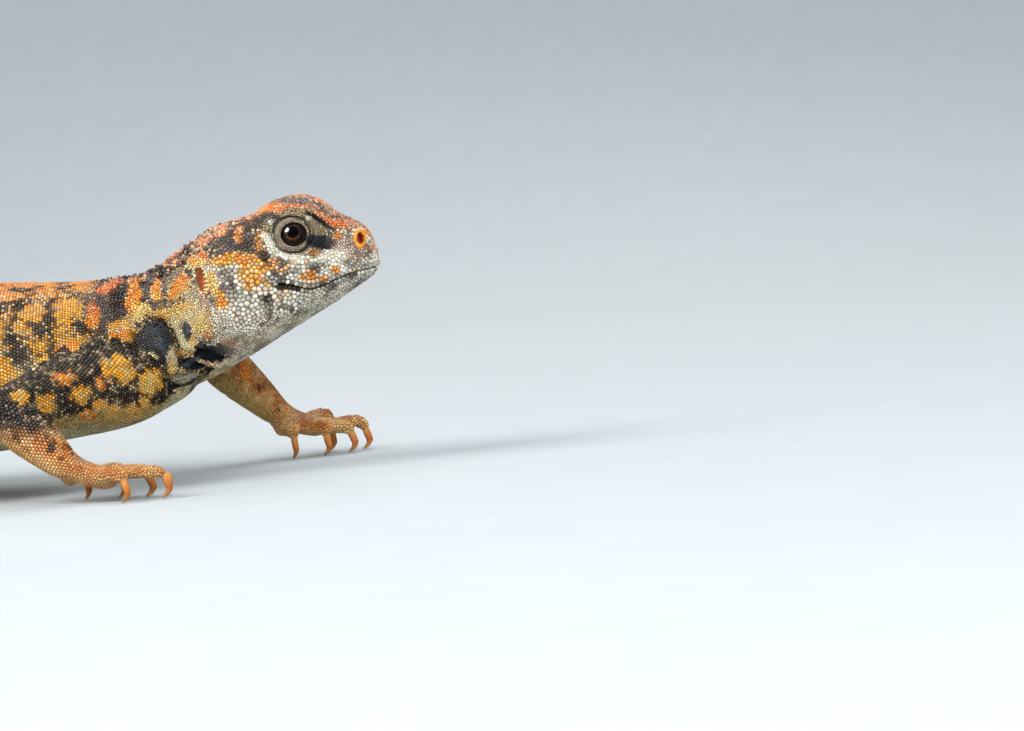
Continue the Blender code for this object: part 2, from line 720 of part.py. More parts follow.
def whorl_spines(whorl, chance):
    """One ring of spines that point back and outwards, smaller where the tail is thinner."""
    x = whorl_x(whorl)
    ring = body_ring(x, TAIL_SIDES * 4)
    middle = Vector((x, line_value(SWAY_LINE, x), line_value(WIDEST_LINE, x)))
    half = line_value(HALF_WIDTH, x)
    size = (half / line_value(HALF_WIDTH, WHORLS_X[0])) ** SPINE_TAPER
    count = max(LEAST_SPINES, round(2 * SPINE_ARC * half / (SPINE_PITCH * size)))
    spines = []
    for k in range(count):
        angle = SPINE_ARC * (2 * (k + 0.5) / count - 1)
        foot = ring[round(angle / (2 * math.pi) * len(ring)) % len(ring)]
        outward = (foot - middle).normalized()
        scale = size * chance.uniform(0.9, 1.1)
        tilt = SPINE_TILT * chance.uniform(0.85, 1.15)
        axis = (Vector((-1, 0, 0)) * math.cos(tilt) + outward * math.sin(tilt)).normalized()
        spines.append(build_spine(foot - outward * SPINE_SUNK * scale, axis, outward, scale))
    return spines


def build_spine(root, axis, outward, scale):
    """A keeled spine: a four-sided cone, wider than high, with a narrow blunt tip."""
    across = outward.cross(axis).normalized()
    lift = axis.cross(across)
    turn = Matrix((across, lift, axis)).transposed().to_quaternion()

    def build(shape):
        standing = Matrix.Translation((0, 0, 0.5))
        bmesh.ops.create_cone(
            shape, cap_ends=True, segments=4, radius1=1, radius2=SPINE_TIP, depth=1, matrix=standing
        )
        size = Vector(SPINE_SIZE) * scale
        bmesh.ops.transform(shape, matrix=Matrix.LocRotScale(root, turn, size), verts=shape.verts)

    return object_of("spine", build)


def place_at_origin(nodes):
    """Moves the whole animal so that the middle of its bounding box is over the origin."""
    points = [vertex.co for node in nodes for vertex in node.data.vertices]
    middle = [(min(p[i] for p in points) + max(p[i] for p in points)) / 2 for i in (0, 1)]
    shift = Matrix.Translation((-middle[0], -middle[1], 0))
    for node in nodes:
        node.data.transform(shift)


def gather(nodes):
    """Puts the finished parts in a collection named for the animal."""
    group = bpy.data.collections.new("Uromastyx")
    bpy.context.scene.collection.children.link(group)
    for node in nodes:
        bpy.context.scene.collection.objects.unlink(node)
        group.objects.link(node)


def dress(nodes, name, colour, roughness):
    for node in nodes:
        node.data.materials.clear()
        node.data.materials.append(material(name, colour, roughness))


def main():
    clear_scene()
    head = build_head()
    eyes = [build_eye(side) for side in (RIGHT, LEFT)]
    neck = build_trunk("neck", HEAD_END_X, NECK_END_X, NECK_RINGS, NECK_SIDES)
    torso = build_trunk("torso", NECK_END_X, VENT_X, TORSO_RINGS, TORSO_SIDES)
    tail = build_tail()

    legs, feet, claws = [], [], []
    for side in (RIGHT, LEFT):
        for kind, joints, sizes, foot, parents in (
            ("fore", FORELEG_JOINTS[side], (UPPER_ARM_SIZES, FOREARM_SIZES), FOREFEET[side], (torso, neck)),
            ("hind", HINDLEG_JOINTS[side], (THIGH_SIZES, SHANK_SIZES), HINDFOOT, (torso, tail[0])),
        ):
            made = build_leg(kind, side, joints, sizes, foot, parents)
            for group, new in zip((legs, feet, claws), made):
                group += new

    flesh = {"head": [head], "neck": [neck], "torso": [torso], "tail": tail, "leg": legs, "foot": feet}
    for name, nodes in flesh.items():
        dress(nodes, f"{name}_skin", SKIN_COLOURS[name], SKIN_ROUGHNESS)
    dress(eyes, "eye", EYE_COLOUR, EYE_ROUGHNESS)
    dress(claws, "claw", CLAW_COLOUR, CLAW_ROUGHNESS)
    every = [head, *eyes, neck, torso, *tail, *legs, *feet, *claws]
    place_at_origin(every)
    gather(every)


main()
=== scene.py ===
"""Looks of a spiny-tailed lizard (uromastyx), life size, standing with its head raised.

One skin is laid through the solids' lines and sculpted with lids, nostrils, ears, lips and folds. A coat
of solid scales grows on it, row by row, and carries the same markings. Shapes are worked out in
millimetres in the animal's own frame, with the ear opening at x = 0, and are moved into the row frame.
"""

import logging
import math
from dataclasses import dataclass, replace
from enum import Enum, IntEnum
from itertools import product

import bmesh
import bpy
import numpy as np
from bpy.types import Material, Mesh, Node, NodeSocket, NodeTree, Object
from mathutils import Matrix, Vector
from mathutils.bvhtree import BVHTree
from mathutils.kdtree import KDTree


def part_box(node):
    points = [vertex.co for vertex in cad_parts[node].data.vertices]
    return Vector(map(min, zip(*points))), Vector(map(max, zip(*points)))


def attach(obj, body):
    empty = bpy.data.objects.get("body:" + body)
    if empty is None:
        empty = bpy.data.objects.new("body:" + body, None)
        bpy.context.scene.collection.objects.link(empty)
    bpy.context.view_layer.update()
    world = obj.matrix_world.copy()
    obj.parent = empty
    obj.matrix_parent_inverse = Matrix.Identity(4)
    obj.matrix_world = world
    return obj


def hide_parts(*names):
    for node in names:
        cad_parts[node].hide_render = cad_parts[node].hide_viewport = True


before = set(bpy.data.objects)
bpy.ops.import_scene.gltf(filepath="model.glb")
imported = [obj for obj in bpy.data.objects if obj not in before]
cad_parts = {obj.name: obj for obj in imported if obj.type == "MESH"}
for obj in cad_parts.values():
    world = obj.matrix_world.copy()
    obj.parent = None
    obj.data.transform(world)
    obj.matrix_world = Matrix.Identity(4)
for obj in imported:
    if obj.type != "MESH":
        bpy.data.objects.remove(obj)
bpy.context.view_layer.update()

Array = np.ndarray
Border = tuple[float, float]
Colour = tuple[float, float, float, float]
LOG = logging.getLogger("lizard")
MM = 0.001
SIDES = (-1, 1)
EYE_CENTRE = np.array([21.0, 8.5, 50.4])
EYE_RADIUS = 3.6


def own_frame_shift() -> Array:
    """The step from the animal's own frame to the row frame, in millimetres.

    Returns:
        The shift, found from the right eye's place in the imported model.
    """
    low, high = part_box("eye_right")
    middle = (np.array(low) + np.array(high)) / 2 / MM
    return middle - EYE_CENTRE * np.array([1, -1, 1])


SHIFT = own_frame_shift()


def ease(start: float, end: float, value: Array) -> Array:
    """A soft step from 0 at start to 1 at end.

    Args:
        start: where the step begins.
        end: where it is complete, which may be below start.
        value: the places to judge.

    Returns:
        The step's share at each place.
    """
    t = np.clip((value - start) / (end - start), 0, 1)
    return t * t * (3 - 2 * t)


def unit(vectors: Array) -> Array:
    """The vectors scaled to length one."""
    return vectors / np.maximum(np.linalg.norm(vectors, axis=-1, keepdims=True), 1e-9)


def mirrored(points: Array) -> Array:
    """The places moved over to the left side, for what both sides share."""
    return np.stack([points[..., 0], np.abs(points[..., 1]), points[..., 2]], axis=-1)


def eye_centre(facing: int) -> Array:
    """The middle of the eye on the right, where facing is -1, or on the left."""
    return EYE_CENTRE * np.array([1, facing, 1])


def value_noise(points: Array, size: float, seed: int) -> Array:
    """Smooth random values from 0 to 1 in space.

    Args:
        points: places in millimetres, one row each.
        size: the width of one blotch in millimetres.
        seed: which pattern.

    Returns:
        One value for each place.
    """
    scaled = points / size
    base = np.floor(scaled)
    part = scaled - base
    part = part * part * (3 - 2 * part)
    cell = base.astype(np.int64) + 4096
    total = np.zeros(len(points))
    for corner in product((0, 1), repeat=3):
        spot = cell + np.array(corner)
        code = spot[:, 0] * 73856093 ^ spot[:, 1] * 19349663 ^ spot[:, 2] * 83492791
        code ^= seed * 668265263 + 974634777
        code &= 0xFFFFFFFF
        code = ((code ^ (code >> 15)) * 2246822519) & 0xFFFFFFFF
        code = ((code ^ (code >> 13)) * 3266489917) & 0xFFFFFFFF
        code ^= code >> 16
        total += code / 0xFFFFFFFF * np.prod(np.where(corner, part, 1 - part), axis=1)
    return total


class Line:
    """A lengthwise line as a monotone cubic through (place, value) pairs, in millimetres."""

    def __init__(self, *places: tuple[float, float]) -> None:
        """Fits the line.

        Args:
            places: the pairs, in any order.
        """
        ordered = np.array(sorted(places), float)
        self.x, self.y = ordered[:, 0], ordered[:, 1]
        slopes = np.diff(self.y) / np.diff(self.x)
        before, after = slopes[:-1], slopes[1:]
        both = np.where(before * after > 0, before + after, 1)
        inner = np.where(before * after > 0, 2 * before * after / both, 0)
        self.tangent = np.concatenate([slopes[:1], inner, slopes[-1:]])

    def at(self, x: Array) -> Array:
        """The line's height, held level past its ends.

        Args:
            x: how far along, for each place.

        Returns:
            One value for each place.
        """
        x = np.clip(x, self.x[0], self.x[-1])
        i = np.clip(np.searchsorted(self.x, x, side="right") - 1, 0, len(self.x) - 2)
        width = self.x[i + 1] - self.x[i]
        t = (x - self.x[i]) / width
        return (
            (2 * t**3 - 3 * t**2 + 1) * self.y[i]
            + (t**3 - 2 * t**2 + t) * width * self.tangent[i]
            + (3 * t**2 - 2 * t**3) * self.y[i + 1]
            + (t**3 - t**2) * width * self.tangent[i + 1]
        )


@dataclass(frozen=True)
class Swell:
    """A soft rise or hollow of the flesh, the same on both sides, in millimetres."""

    centre: tuple[float, float, float]
    reach: tuple[float, float, float]
    push: tuple[float, float, float]


@dataclass(frozen=True)
class Trunk:
    """The smooth form of the head, neck, body and tail, given by lengthwise lines."""

    back: Line = Line(
        (38.7, 44.9), (38.2, 47.6), (36.6, 50.7), (33.5, 53.0), (30.8, 54.4), (27, 57.7), (22, 59.1),
        (17, 58.3), (12, 55.7), (5, 54.0), (-1.2, 50.7), (-8, 46.6), (-14, 44.4), (-24, 44.2),
        (-48, 45.5), (-75, 45.8), (-102, 43.5), (-126, 38.5), (-146, 32.5), (-162, 26.5), (-178, 20.5),
        (-200, 17.6), (-232, 15.4), (-262, 12.4), (-292, 8.8), (-314, 5.4), (-326, 2.4),
    )
    belly: Line = Line(
        (38.7, 43.1), (38, 41.5), (33.5, 38.4), (27.3, 34.8), (19.2, 30.6), (9.9, 25.6), (3.1, 22.4),
        (-2.6, 18.9), (-8.8, 15.8), (-15, 13.2), (-24, 11.4), (-48, 9.0), (-75, 6.6), (-102, 4.8),
        (-126, 3.4), (-146, 2.2), (-162, 1.2), (-178, 0.2), (-192, -0.5), (-326, -0.5),
    )
    half_width: Line = Line(
        (38.7, 2.2), (38, 4.2), (36, 6.4), (33, 8.1), (28, 9.9), (23, 11.7), (18, 13.3), (12, 14.7),
        (5, 15.6), (0, 15.3), (-6, 14.6), (-12, 15.0), (-20, 17.6), (-32, 22), (-50, 28), (-75, 33.5),
        (-100, 35), (-125, 31.5), (-145, 24.5), (-160, 18.6), (-174, 14.6), (-184, 13.4), (-202, 13.2),
        (-232, 11.8), (-262, 9.4), (-292, 6.2), (-314, 3.4), (-326, 1.2),
    )
    widest: Line = Line(
        (38.7, 43.9), (33, 44.2), (26, 43), (18, 41), (10, 39.5), (0, 37), (-10, 31), (-20, 26.5),
        (-35, 23.5), (-60, 21.5), (-100, 18.5), (-130, 14.5), (-150, 11.5), (-174, 8.5), (-200, 7),
        (-250, 5.5), (-300, 3.2), (-326, 1),
    )
    upper_power: Line = Line(
        (38.7, 2.2), (31, 2.5), (22, 3.0), (8, 2.6), (-10, 2.1), (-60, 2.0), (-150, 2.1), (-326, 2.3)
    )
    lower_power: Line = Line(
        (38.7, 2.2), (20, 2.3), (0, 2.2), (-30, 2.3), (-100, 2.6), (-180, 2.6), (-326, 2.2)
    )
    sway: Line = Line(
        (38.7, 0), (0, 0), (-40, 0.8), (-100, 3), (-160, 1.5), (-210, -3.5), (-270, -13), (-326, -27)
    )
    swells: tuple[Swell, ...] = (
        Swell((20.5, 10.6, 55.2), (7.5, 3.2, 2.2), (0, 1.3, 0.5)),
        Swell((29.5, 7.6, 51.8), (4, 2.4, 1.8), (0, 0.5, 0.3)),
        Swell((21, 12.5, 50.2), (5.0, 6.0, 4.2), (0, -1.2, 0)),
        Swell((28.2, 9.6, 46.4), (3.6, 5.0, 2.6), (0, -0.8, 0)),
        Swell((20.5, 13.4, 43.6), (7.5, 5.0, 2.4), (0, 0.8, 0)),
        Swell((7.2, 15.6, 35.5), (7.5, 6.0, 6.5), (0, 1.5, 0)),
        Swell((9, 12.4, 50.0), (6, 4.5, 3.5), (0, 0.7, 0.2)),
        Swell((0.8, 15.2, 42), (2.6, 5.0, 4.6), (0, -1.2, 0)),
        Swell((-4.6, 14.0, 33), (2.6, 6.0, 9.0), (0, -1.4, 0)),
        Swell((-9.5, 14.6, 31), (2.6, 6.0, 8.5), (0, 1.5, 0)),
        Swell((-1.5, 0, 19.5), (2.2, 11.0, 4.5), (0, 0, 1.4)),
        Swell((-22, 14.0, 39), (8, 6.0, 5.0), (0, 1.3, 0.7)),
        Swell((-17, 9.0, 13), (7, 6.0, 4.5), (0, 0.8, -0.6)),
        Swell((-96, 33.0, 12), (48, 6.0, 3.6), (0, 1.5, -0.3)),
        Swell((-158, 15.0, 21), (10, 7.0, 6.0), (0, 1.2, 0.8)),
    )
    snout: float = 38.7
    tail_tip: float = -326.0

    def points(self, x: Array, angle: Array, grow: float = 0.0) -> Array:
        """Places on the form.

        Args:
            x: how far along, one for each place.
            angle: how far round from the middle of the back, towards the left side.
            grow: how much thicker than the form, in millimetres.

        Returns:
            One row for each place.
        """
        top, bottom = self.back.at(x) + grow, self.belly.at(x) - grow
        half, widest = self.half_width.at(x) + grow, self.widest.at(x)
        across, along = np.sin(angle), np.cos(angle)
        power = 2 / np.where(along >= 0, self.upper_power.at(x), self.lower_power.at(x))
        height = np.where(along >= 0, top - widest, widest - bottom)
        y = half * np.copysign(np.abs(across) ** power, across)
        z = widest + height * np.copysign(np.abs(along) ** power, along)
        found = np.stack([x, y, z], axis=-1)
        moved = found.copy()
        side = np.where(y >= 0, 1.0, -1.0)
        own = mirrored(found)
        for swell in self.swells:
            away = (own - np.array(swell.centre)) / np.array(swell.reach)
            weight = np.exp(-(away**2).sum(axis=-1))
            moved[..., 0] += swell.push[0] * weight
            moved[..., 1] += swell.push[1] * weight * side
            moved[..., 2] += swell.push[2] * weight
        moved[..., 1] += self.sway.at(x)
        return moved

    def mesh(self, grow: float, step: float = 1.0, sides: int = 96) -> tuple[Array, list]:
        """The closed form.

        Args:
            grow: how much thicker than the form, in millimetres.
            step: the distance between its rings.
            sides: the points of a ring.

        Returns:
            Its points and its faces.
        """
        count = int((self.snout - self.tail_tip) / step)
        stations = np.linspace(self.snout, self.tail_tip, count)
        angles = np.arange(sides) * 2 * math.pi / sides
        x, angle = np.meshgrid(stations, angles, indexing="ij")
        points = self.points(x, angle, grow).reshape(-1, 3)
        faces = []
        for row, k in product(range(count - 1), range(sides)):
            a, b = row * sides + k, row * sides + (k + 1) % sides
            faces.append((a, b, b + sides, a + sides))
        faces.append(tuple(range(sides))[::-1])
        faces.append(tuple(range((count - 1) * sides, count * sides)))
        return points, faces


TRUNK = Trunk()
MOUTH = Line(
    (15, 40.3), (17.2, 40.5), (19.8, 40.1), (21.9, 39.3), (24.0, 38.9), (26.1, 39.3), (28.3, 40.2),
    (30.5, 40.9), (32.6, 41.6), (34.7, 41.9), (36.8, 42.2), (38.7, 42.5),
)
BROW = Line(
    (-2, 49.5), (5, 51.6), (12, 54.0), (15.2, 55.7), (19, 56.2), (21.1, 56.0), (24.2, 54.9), (25.6, 53.9),
    (27.6, 52.5), (29.1, 51.3), (32, 50.8), (35, 50.6), (38.7, 46),
)
JAW = Line(
    (-3, 31.5), (2, 31), (7, 31), (12, 31.6), (18, 33.8), (24, 36), (30, 38.6), (35, 40.6), (38.7, 42)
)


class Tint(Enum):
    """The colours of the hide, and of the shade and sheen painted on it, as red, green and blue from 0 to
    255.
    """

    SALMON = (222, 144, 106)
    ROSE = (204, 156, 134)
    CORAL = (226, 116, 58)
    ORANGE = (232, 138, 34)
    GOLD = (230, 166, 54)
    YELLOW = (222, 188, 104)
    CREAM = (214, 200, 154)
    BONE = (218, 214, 196)
    IVORY = (242, 236, 216)
    GREY = (120, 112, 106)
    SLATE = (52, 58, 66)
    STEEL_SHEEN = (92, 102, 114)
    SOOT = (30, 28, 29)
    INK = (25, 28, 33)
    UMBER = (78, 62, 50)
    DUSK = (92, 84, 80)
    KHAKI = (156, 138, 106)
    TAUPE = (148, 130, 114)
    OLIVE = (180, 158, 84)
    BEIGE = (178, 168, 142)
    PINK = (190, 150, 124)
    EAR_DEPTH_SHADE = (128, 54, 24)
    BRICK = (222, 128, 76)
    WINE = (160, 20, 10)
    TAN = (200, 134, 72)
    SAND = (216, 172, 112)
    AMBER = (184, 104, 42)

    @property
    def linear(self) -> Array:
        """The colour for a shader."""
        value = np.array(self.value) / 255
        return np.where(value <= 0.04045, value / 12.92, ((value + 0.055) / 1.055) ** 2.4)


class Part(IntEnum):
    """The regions of the animal that carry their own scales and ground colour."""

    HEAD = 0
    NECK = 1
    TORSO = 2
    TAIL = 3
    FORELEG = 4
    HINDLEG = 5
    FOREFOOT = 6
    HINDFOOT = 7


FLESH = {
    Part.HEAD: ("head",),
    Part.NECK: ("neck",),
    Part.TORSO: ("torso",),
    Part.TAIL: ("tail_1", "tail_2", "tail_3"),
    Part.FORELEG: tuple(f"foreleg_{s}_{p}" for s in ("right", "left") for p in ("upper", "lower")),
    Part.HINDLEG: tuple(f"hindleg_{s}_{p}" for s in ("right", "left") for p in ("thigh", "shank")),
    Part.FOREFOOT: ("forefoot_right", "forefoot_left"),
    Part.HINDFOOT: ("hindfoot_right", "hindfoot_left"),
}


def node_mesh(name: str) -> tuple[Array, Array]:
    """A CAD node's shape in the animal's own frame.

    Args:
        name: the node.

    Returns:
        Its points in millimetres, each met once, and its triangles.
    """
    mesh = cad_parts[name].data
    points = np.empty(len(mesh.vertices) * 3)
    mesh.vertices.foreach_get("co", points)
    points = points.reshape(-1, 3) / MM - SHIFT
    _, first, place = np.unique(np.round(points, 3), axis=0, return_index=True, return_inverse=True)
    return points[first], place.reshape(-1)[mesh_triangles(mesh)]


def vertex_normals(points: Array, triangles: Array) -> Array:
    """Directions of a surface at its points, larger triangles counting for more.

    Args:
        points: its points.
        triangles: three point numbers in each row.

    Returns:
        One unit vector for each point.
    """
    corners = points[triangles]
    square = np.cross(corners[:, 1] - corners[:, 0], corners[:, 2] - corners[:, 0])
    total = np.zeros_like(points)
    for k in range(3):
        for axis in range(3):
            total[:, axis] += np.bincount(triangles[:, k], square[:, axis], len(points))
    return unit(total)


def relaxed(values: Array, edges: Array, share: Array | float, rounds: int) -> Array:
    """Values drawn towards the mean of their neighbours along the edges.

    Args:
        values: one row for each point.
        edges: pairs of points.
        share: how far each point goes in one round, for all or for each.
        rounds: how often.

    Returns:
        The new values.
    """
    count = np.maximum(np.bincount(edges.ravel(), minlength=len(values)), 1)[:, None]
    share = np.broadcast_to(np.reshape(share, (-1, 1)), (len(values), 1))
    for _ in range(rounds):
        total = np.empty_like(values)
        for axis in range(values.shape[1]):
            column = values[:, axis]
            total[:, axis] = np.bincount(edges[:, 0], column[edges[:, 1]], len(values))
            total[:, axis] += np.bincount(edges[:, 1], column[edges[:, 0]], len(values))
        values = values + (total / count - values) * share
    return values


def mesh_arrays(mesh: Mesh) -> tuple[Array, Array]:
    """The points and edges of a mesh.

    Args:
        mesh: the mesh.

    Returns:
        Its points and its edges, one row each.
    """
    points = np.empty(len(mesh.vertices) * 3)
    mesh.vertices.foreach_get("co", points)
    edges = np.empty(len(mesh.edges) * 2, np.int32)
    mesh.edges.foreach_get("vertices", edges)
    return points.reshape(-1, 3), edges.reshape(-1, 2)


def mesh_triangles(mesh: Mesh) -> Array:
    """The triangles of a mesh.

    Args:
        mesh: the mesh.

    Returns:
        Three point numbers in each row.
    """
    mesh.calc_loop_triangles()
    corners = np.empty(len(mesh.loop_triangles) * 3, np.int32)
    mesh.loop_triangles.foreach_get("vertices", corners)
    return corners.reshape(-1, 3)


def applied(obj: Object) -> Mesh:
    """Replaces an object by its mesh with the modifiers applied.

    Args:
        obj: the object, which is removed.

    Returns:
        The new mesh.
    """
    graph = bpy.context.evaluated_depsgraph_get()
    mesh = bpy.data.meshes.new_from_object(obj.evaluated_get(graph))
    bpy.data.objects.remove(obj)
    return mesh


def remeshed(points: Array, faces: list, voxel: float) -> Mesh:
    """Overlapping shapes fused into one closed surface by a fine grid.

    Args:
        points: their points in millimetres.
        faces: their faces.
        voxel: the width of the grid's cells.

    Returns:
        The largest closed surface.
    """
    source = bpy.data.meshes.new("source")
    source.from_pydata(points.tolist(), [], faces)
    obj = bpy.data.objects.new("source", source)
    bpy.context.scene.collection.objects.link(obj)
    grid = obj.modifiers.new("grid", "REMESH")
    grid.mode = "VOXEL"
    grid.voxel_size = voxel
    fused = applied(obj)
    bpy.data.meshes.remove(source)
    shape = bmesh.new()
    shape.from_mesh(fused)
    drop_inner(shape)
    shape.to_mesh(fused)
    shape.free()
    return fused


def triangle_mesh(name: str, points: Array, triangles: Array) -> Mesh:
    """A smooth-shaded mesh in the row frame, made from arrays in the animal's own frame.

    Args:
        name: the mesh's name.
        points: places in millimetres.
        triangles: three point numbers in each row.

    Returns:
        The new mesh.
    """
    mesh = bpy.data.meshes.new(name)
    mesh.vertices.add(len(points))
    mesh.vertices.foreach_set("co", ((points + SHIFT) * MM).astype(np.float32).ravel())
    mesh.loops.add(triangles.size)
    mesh.loops.foreach_set("vertex_index", triangles.astype(np.int32).ravel())
    mesh.polygons.add(len(triangles))
    mesh.polygons.foreach_set("loop_start", np.arange(0, triangles.size, 3, dtype=np.int32))
    mesh.update(calc_edges=True)
    mesh.validate()
    mesh.shade_smooth()
    return mesh


def paint_points(mesh: Mesh, name: str, colours: Array) -> None:
    """Stores a colour on each point of a mesh.

    Args:
        mesh: the mesh.
        name: what the colours are stored as.
        colours: one linear colour for each point.
    """
    layer = mesh.color_attributes.new(name, "FLOAT_COLOR", "POINT")
    full = np.ones((len(colours), 4), np.float32)
    full[:, :3] = colours
    layer.data.foreach_set("color", full.ravel())


def value_points(mesh: Mesh, name: str, values: Array) -> None:
    """Stores one number for each point under that name."""
    layer = mesh.attributes.new(name, "FLOAT", "POINT")
    layer.data.foreach_set("value", values.astype(np.float32))


def unwrap(mesh: Mesh, flat: Array, triangles: Array) -> None:
    """Gives a mesh its map for baking.

    Args:
        mesh: the mesh.
        flat: each point's place on the map.
        triangles: the mesh's triangles.
    """
    layer = mesh.uv_layers.new(name="OFBake")
    layer.data.foreach_set("uv", flat[triangles.ravel()].astype(np.float32).ravel())


def cone_faces(sides: int, rings: int) -> list[tuple[int, int, int]]:
    """The triangles of a form made of rings of points, one ring after another, and a tip.

    Args:
        sides: the points of a ring.
        rings: how many rings there are.

    Returns:
        Three point numbers for each triangle.
    """
    corners = []
    for ring, k in product(range(rings - 1), range(sides)):
        a, b = ring * sides + k, ring * sides + (k + 1) % sides
        corners += [(a, b, b + sides), (a, b + sides, a + sides)]
    last = (rings - 1) * sides
    return corners + [(last + k, last + (k + 1) % sides, rings * sides) for k in range(sides)]


def path_length(path: Array) -> Array:
    """How far along a path each of its points lies."""
    return np.concatenate([[0], np.cumsum(np.linalg.norm(np.diff(path, axis=0), axis=1))])


def along_path(places: Array, length: Array, path: Array) -> Array:
    """The points that lie so far along a path, of which length gives each point's distance."""
    return np.stack([np.interp(places, length, path[:, k]) for k in range(3)], axis=1)


def show(name: str, mesh: Mesh, material: Material) -> Object:
    """An object of the animal, in the scene and riding on its one body.

    Args:
        name: the piece's name.
        mesh: its mesh.
        material: what it is made of.

    Returns:
        The new object.
    """
    mesh.materials.append(material)
    obj = bpy.data.objects.new(name, mesh)
    bpy.context.scene.collection.objects.link(obj)
    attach(obj, "root")
    return obj


def line_distance(places: Array, path: tuple[tuple[float, float], ...]) -> Array:
    """How far places lie from a broken line.

    Args:
        places: two coordinates in each row.
        path: the line's points in the same coordinates.

    Returns:
        One distance for each place.
    """
    nearest = np.full(len(places), np.inf)
    for start, end in zip(path, path[1:]):
        a, b = np.array(start), np.array(end)
        along = np.clip((places - a) @ (b - a) / ((b - a) @ (b - a)), 0, 1)
        nearest = np.minimum(nearest, np.linalg.norm(places - a - along[:, None] * (b - a), axis=1))
    return nearest


@dataclass(frozen=True)
class Fold:
    """A crease of the skin along a path seen from the side, or a ridge where depth is negative."""

    path: tuple[tuple[float, float], ...]
    depth: float
    width: float
    shoulder: float = 0.25


@dataclass(frozen=True)
class Pit:
    """An opening with a raised rim, seen from the side: its place, half-sizes and lean."""

    place: tuple[float, float]
    radii: tuple[float, float]
    lean: float
    depth: float
    rim: float
    rim_width: float


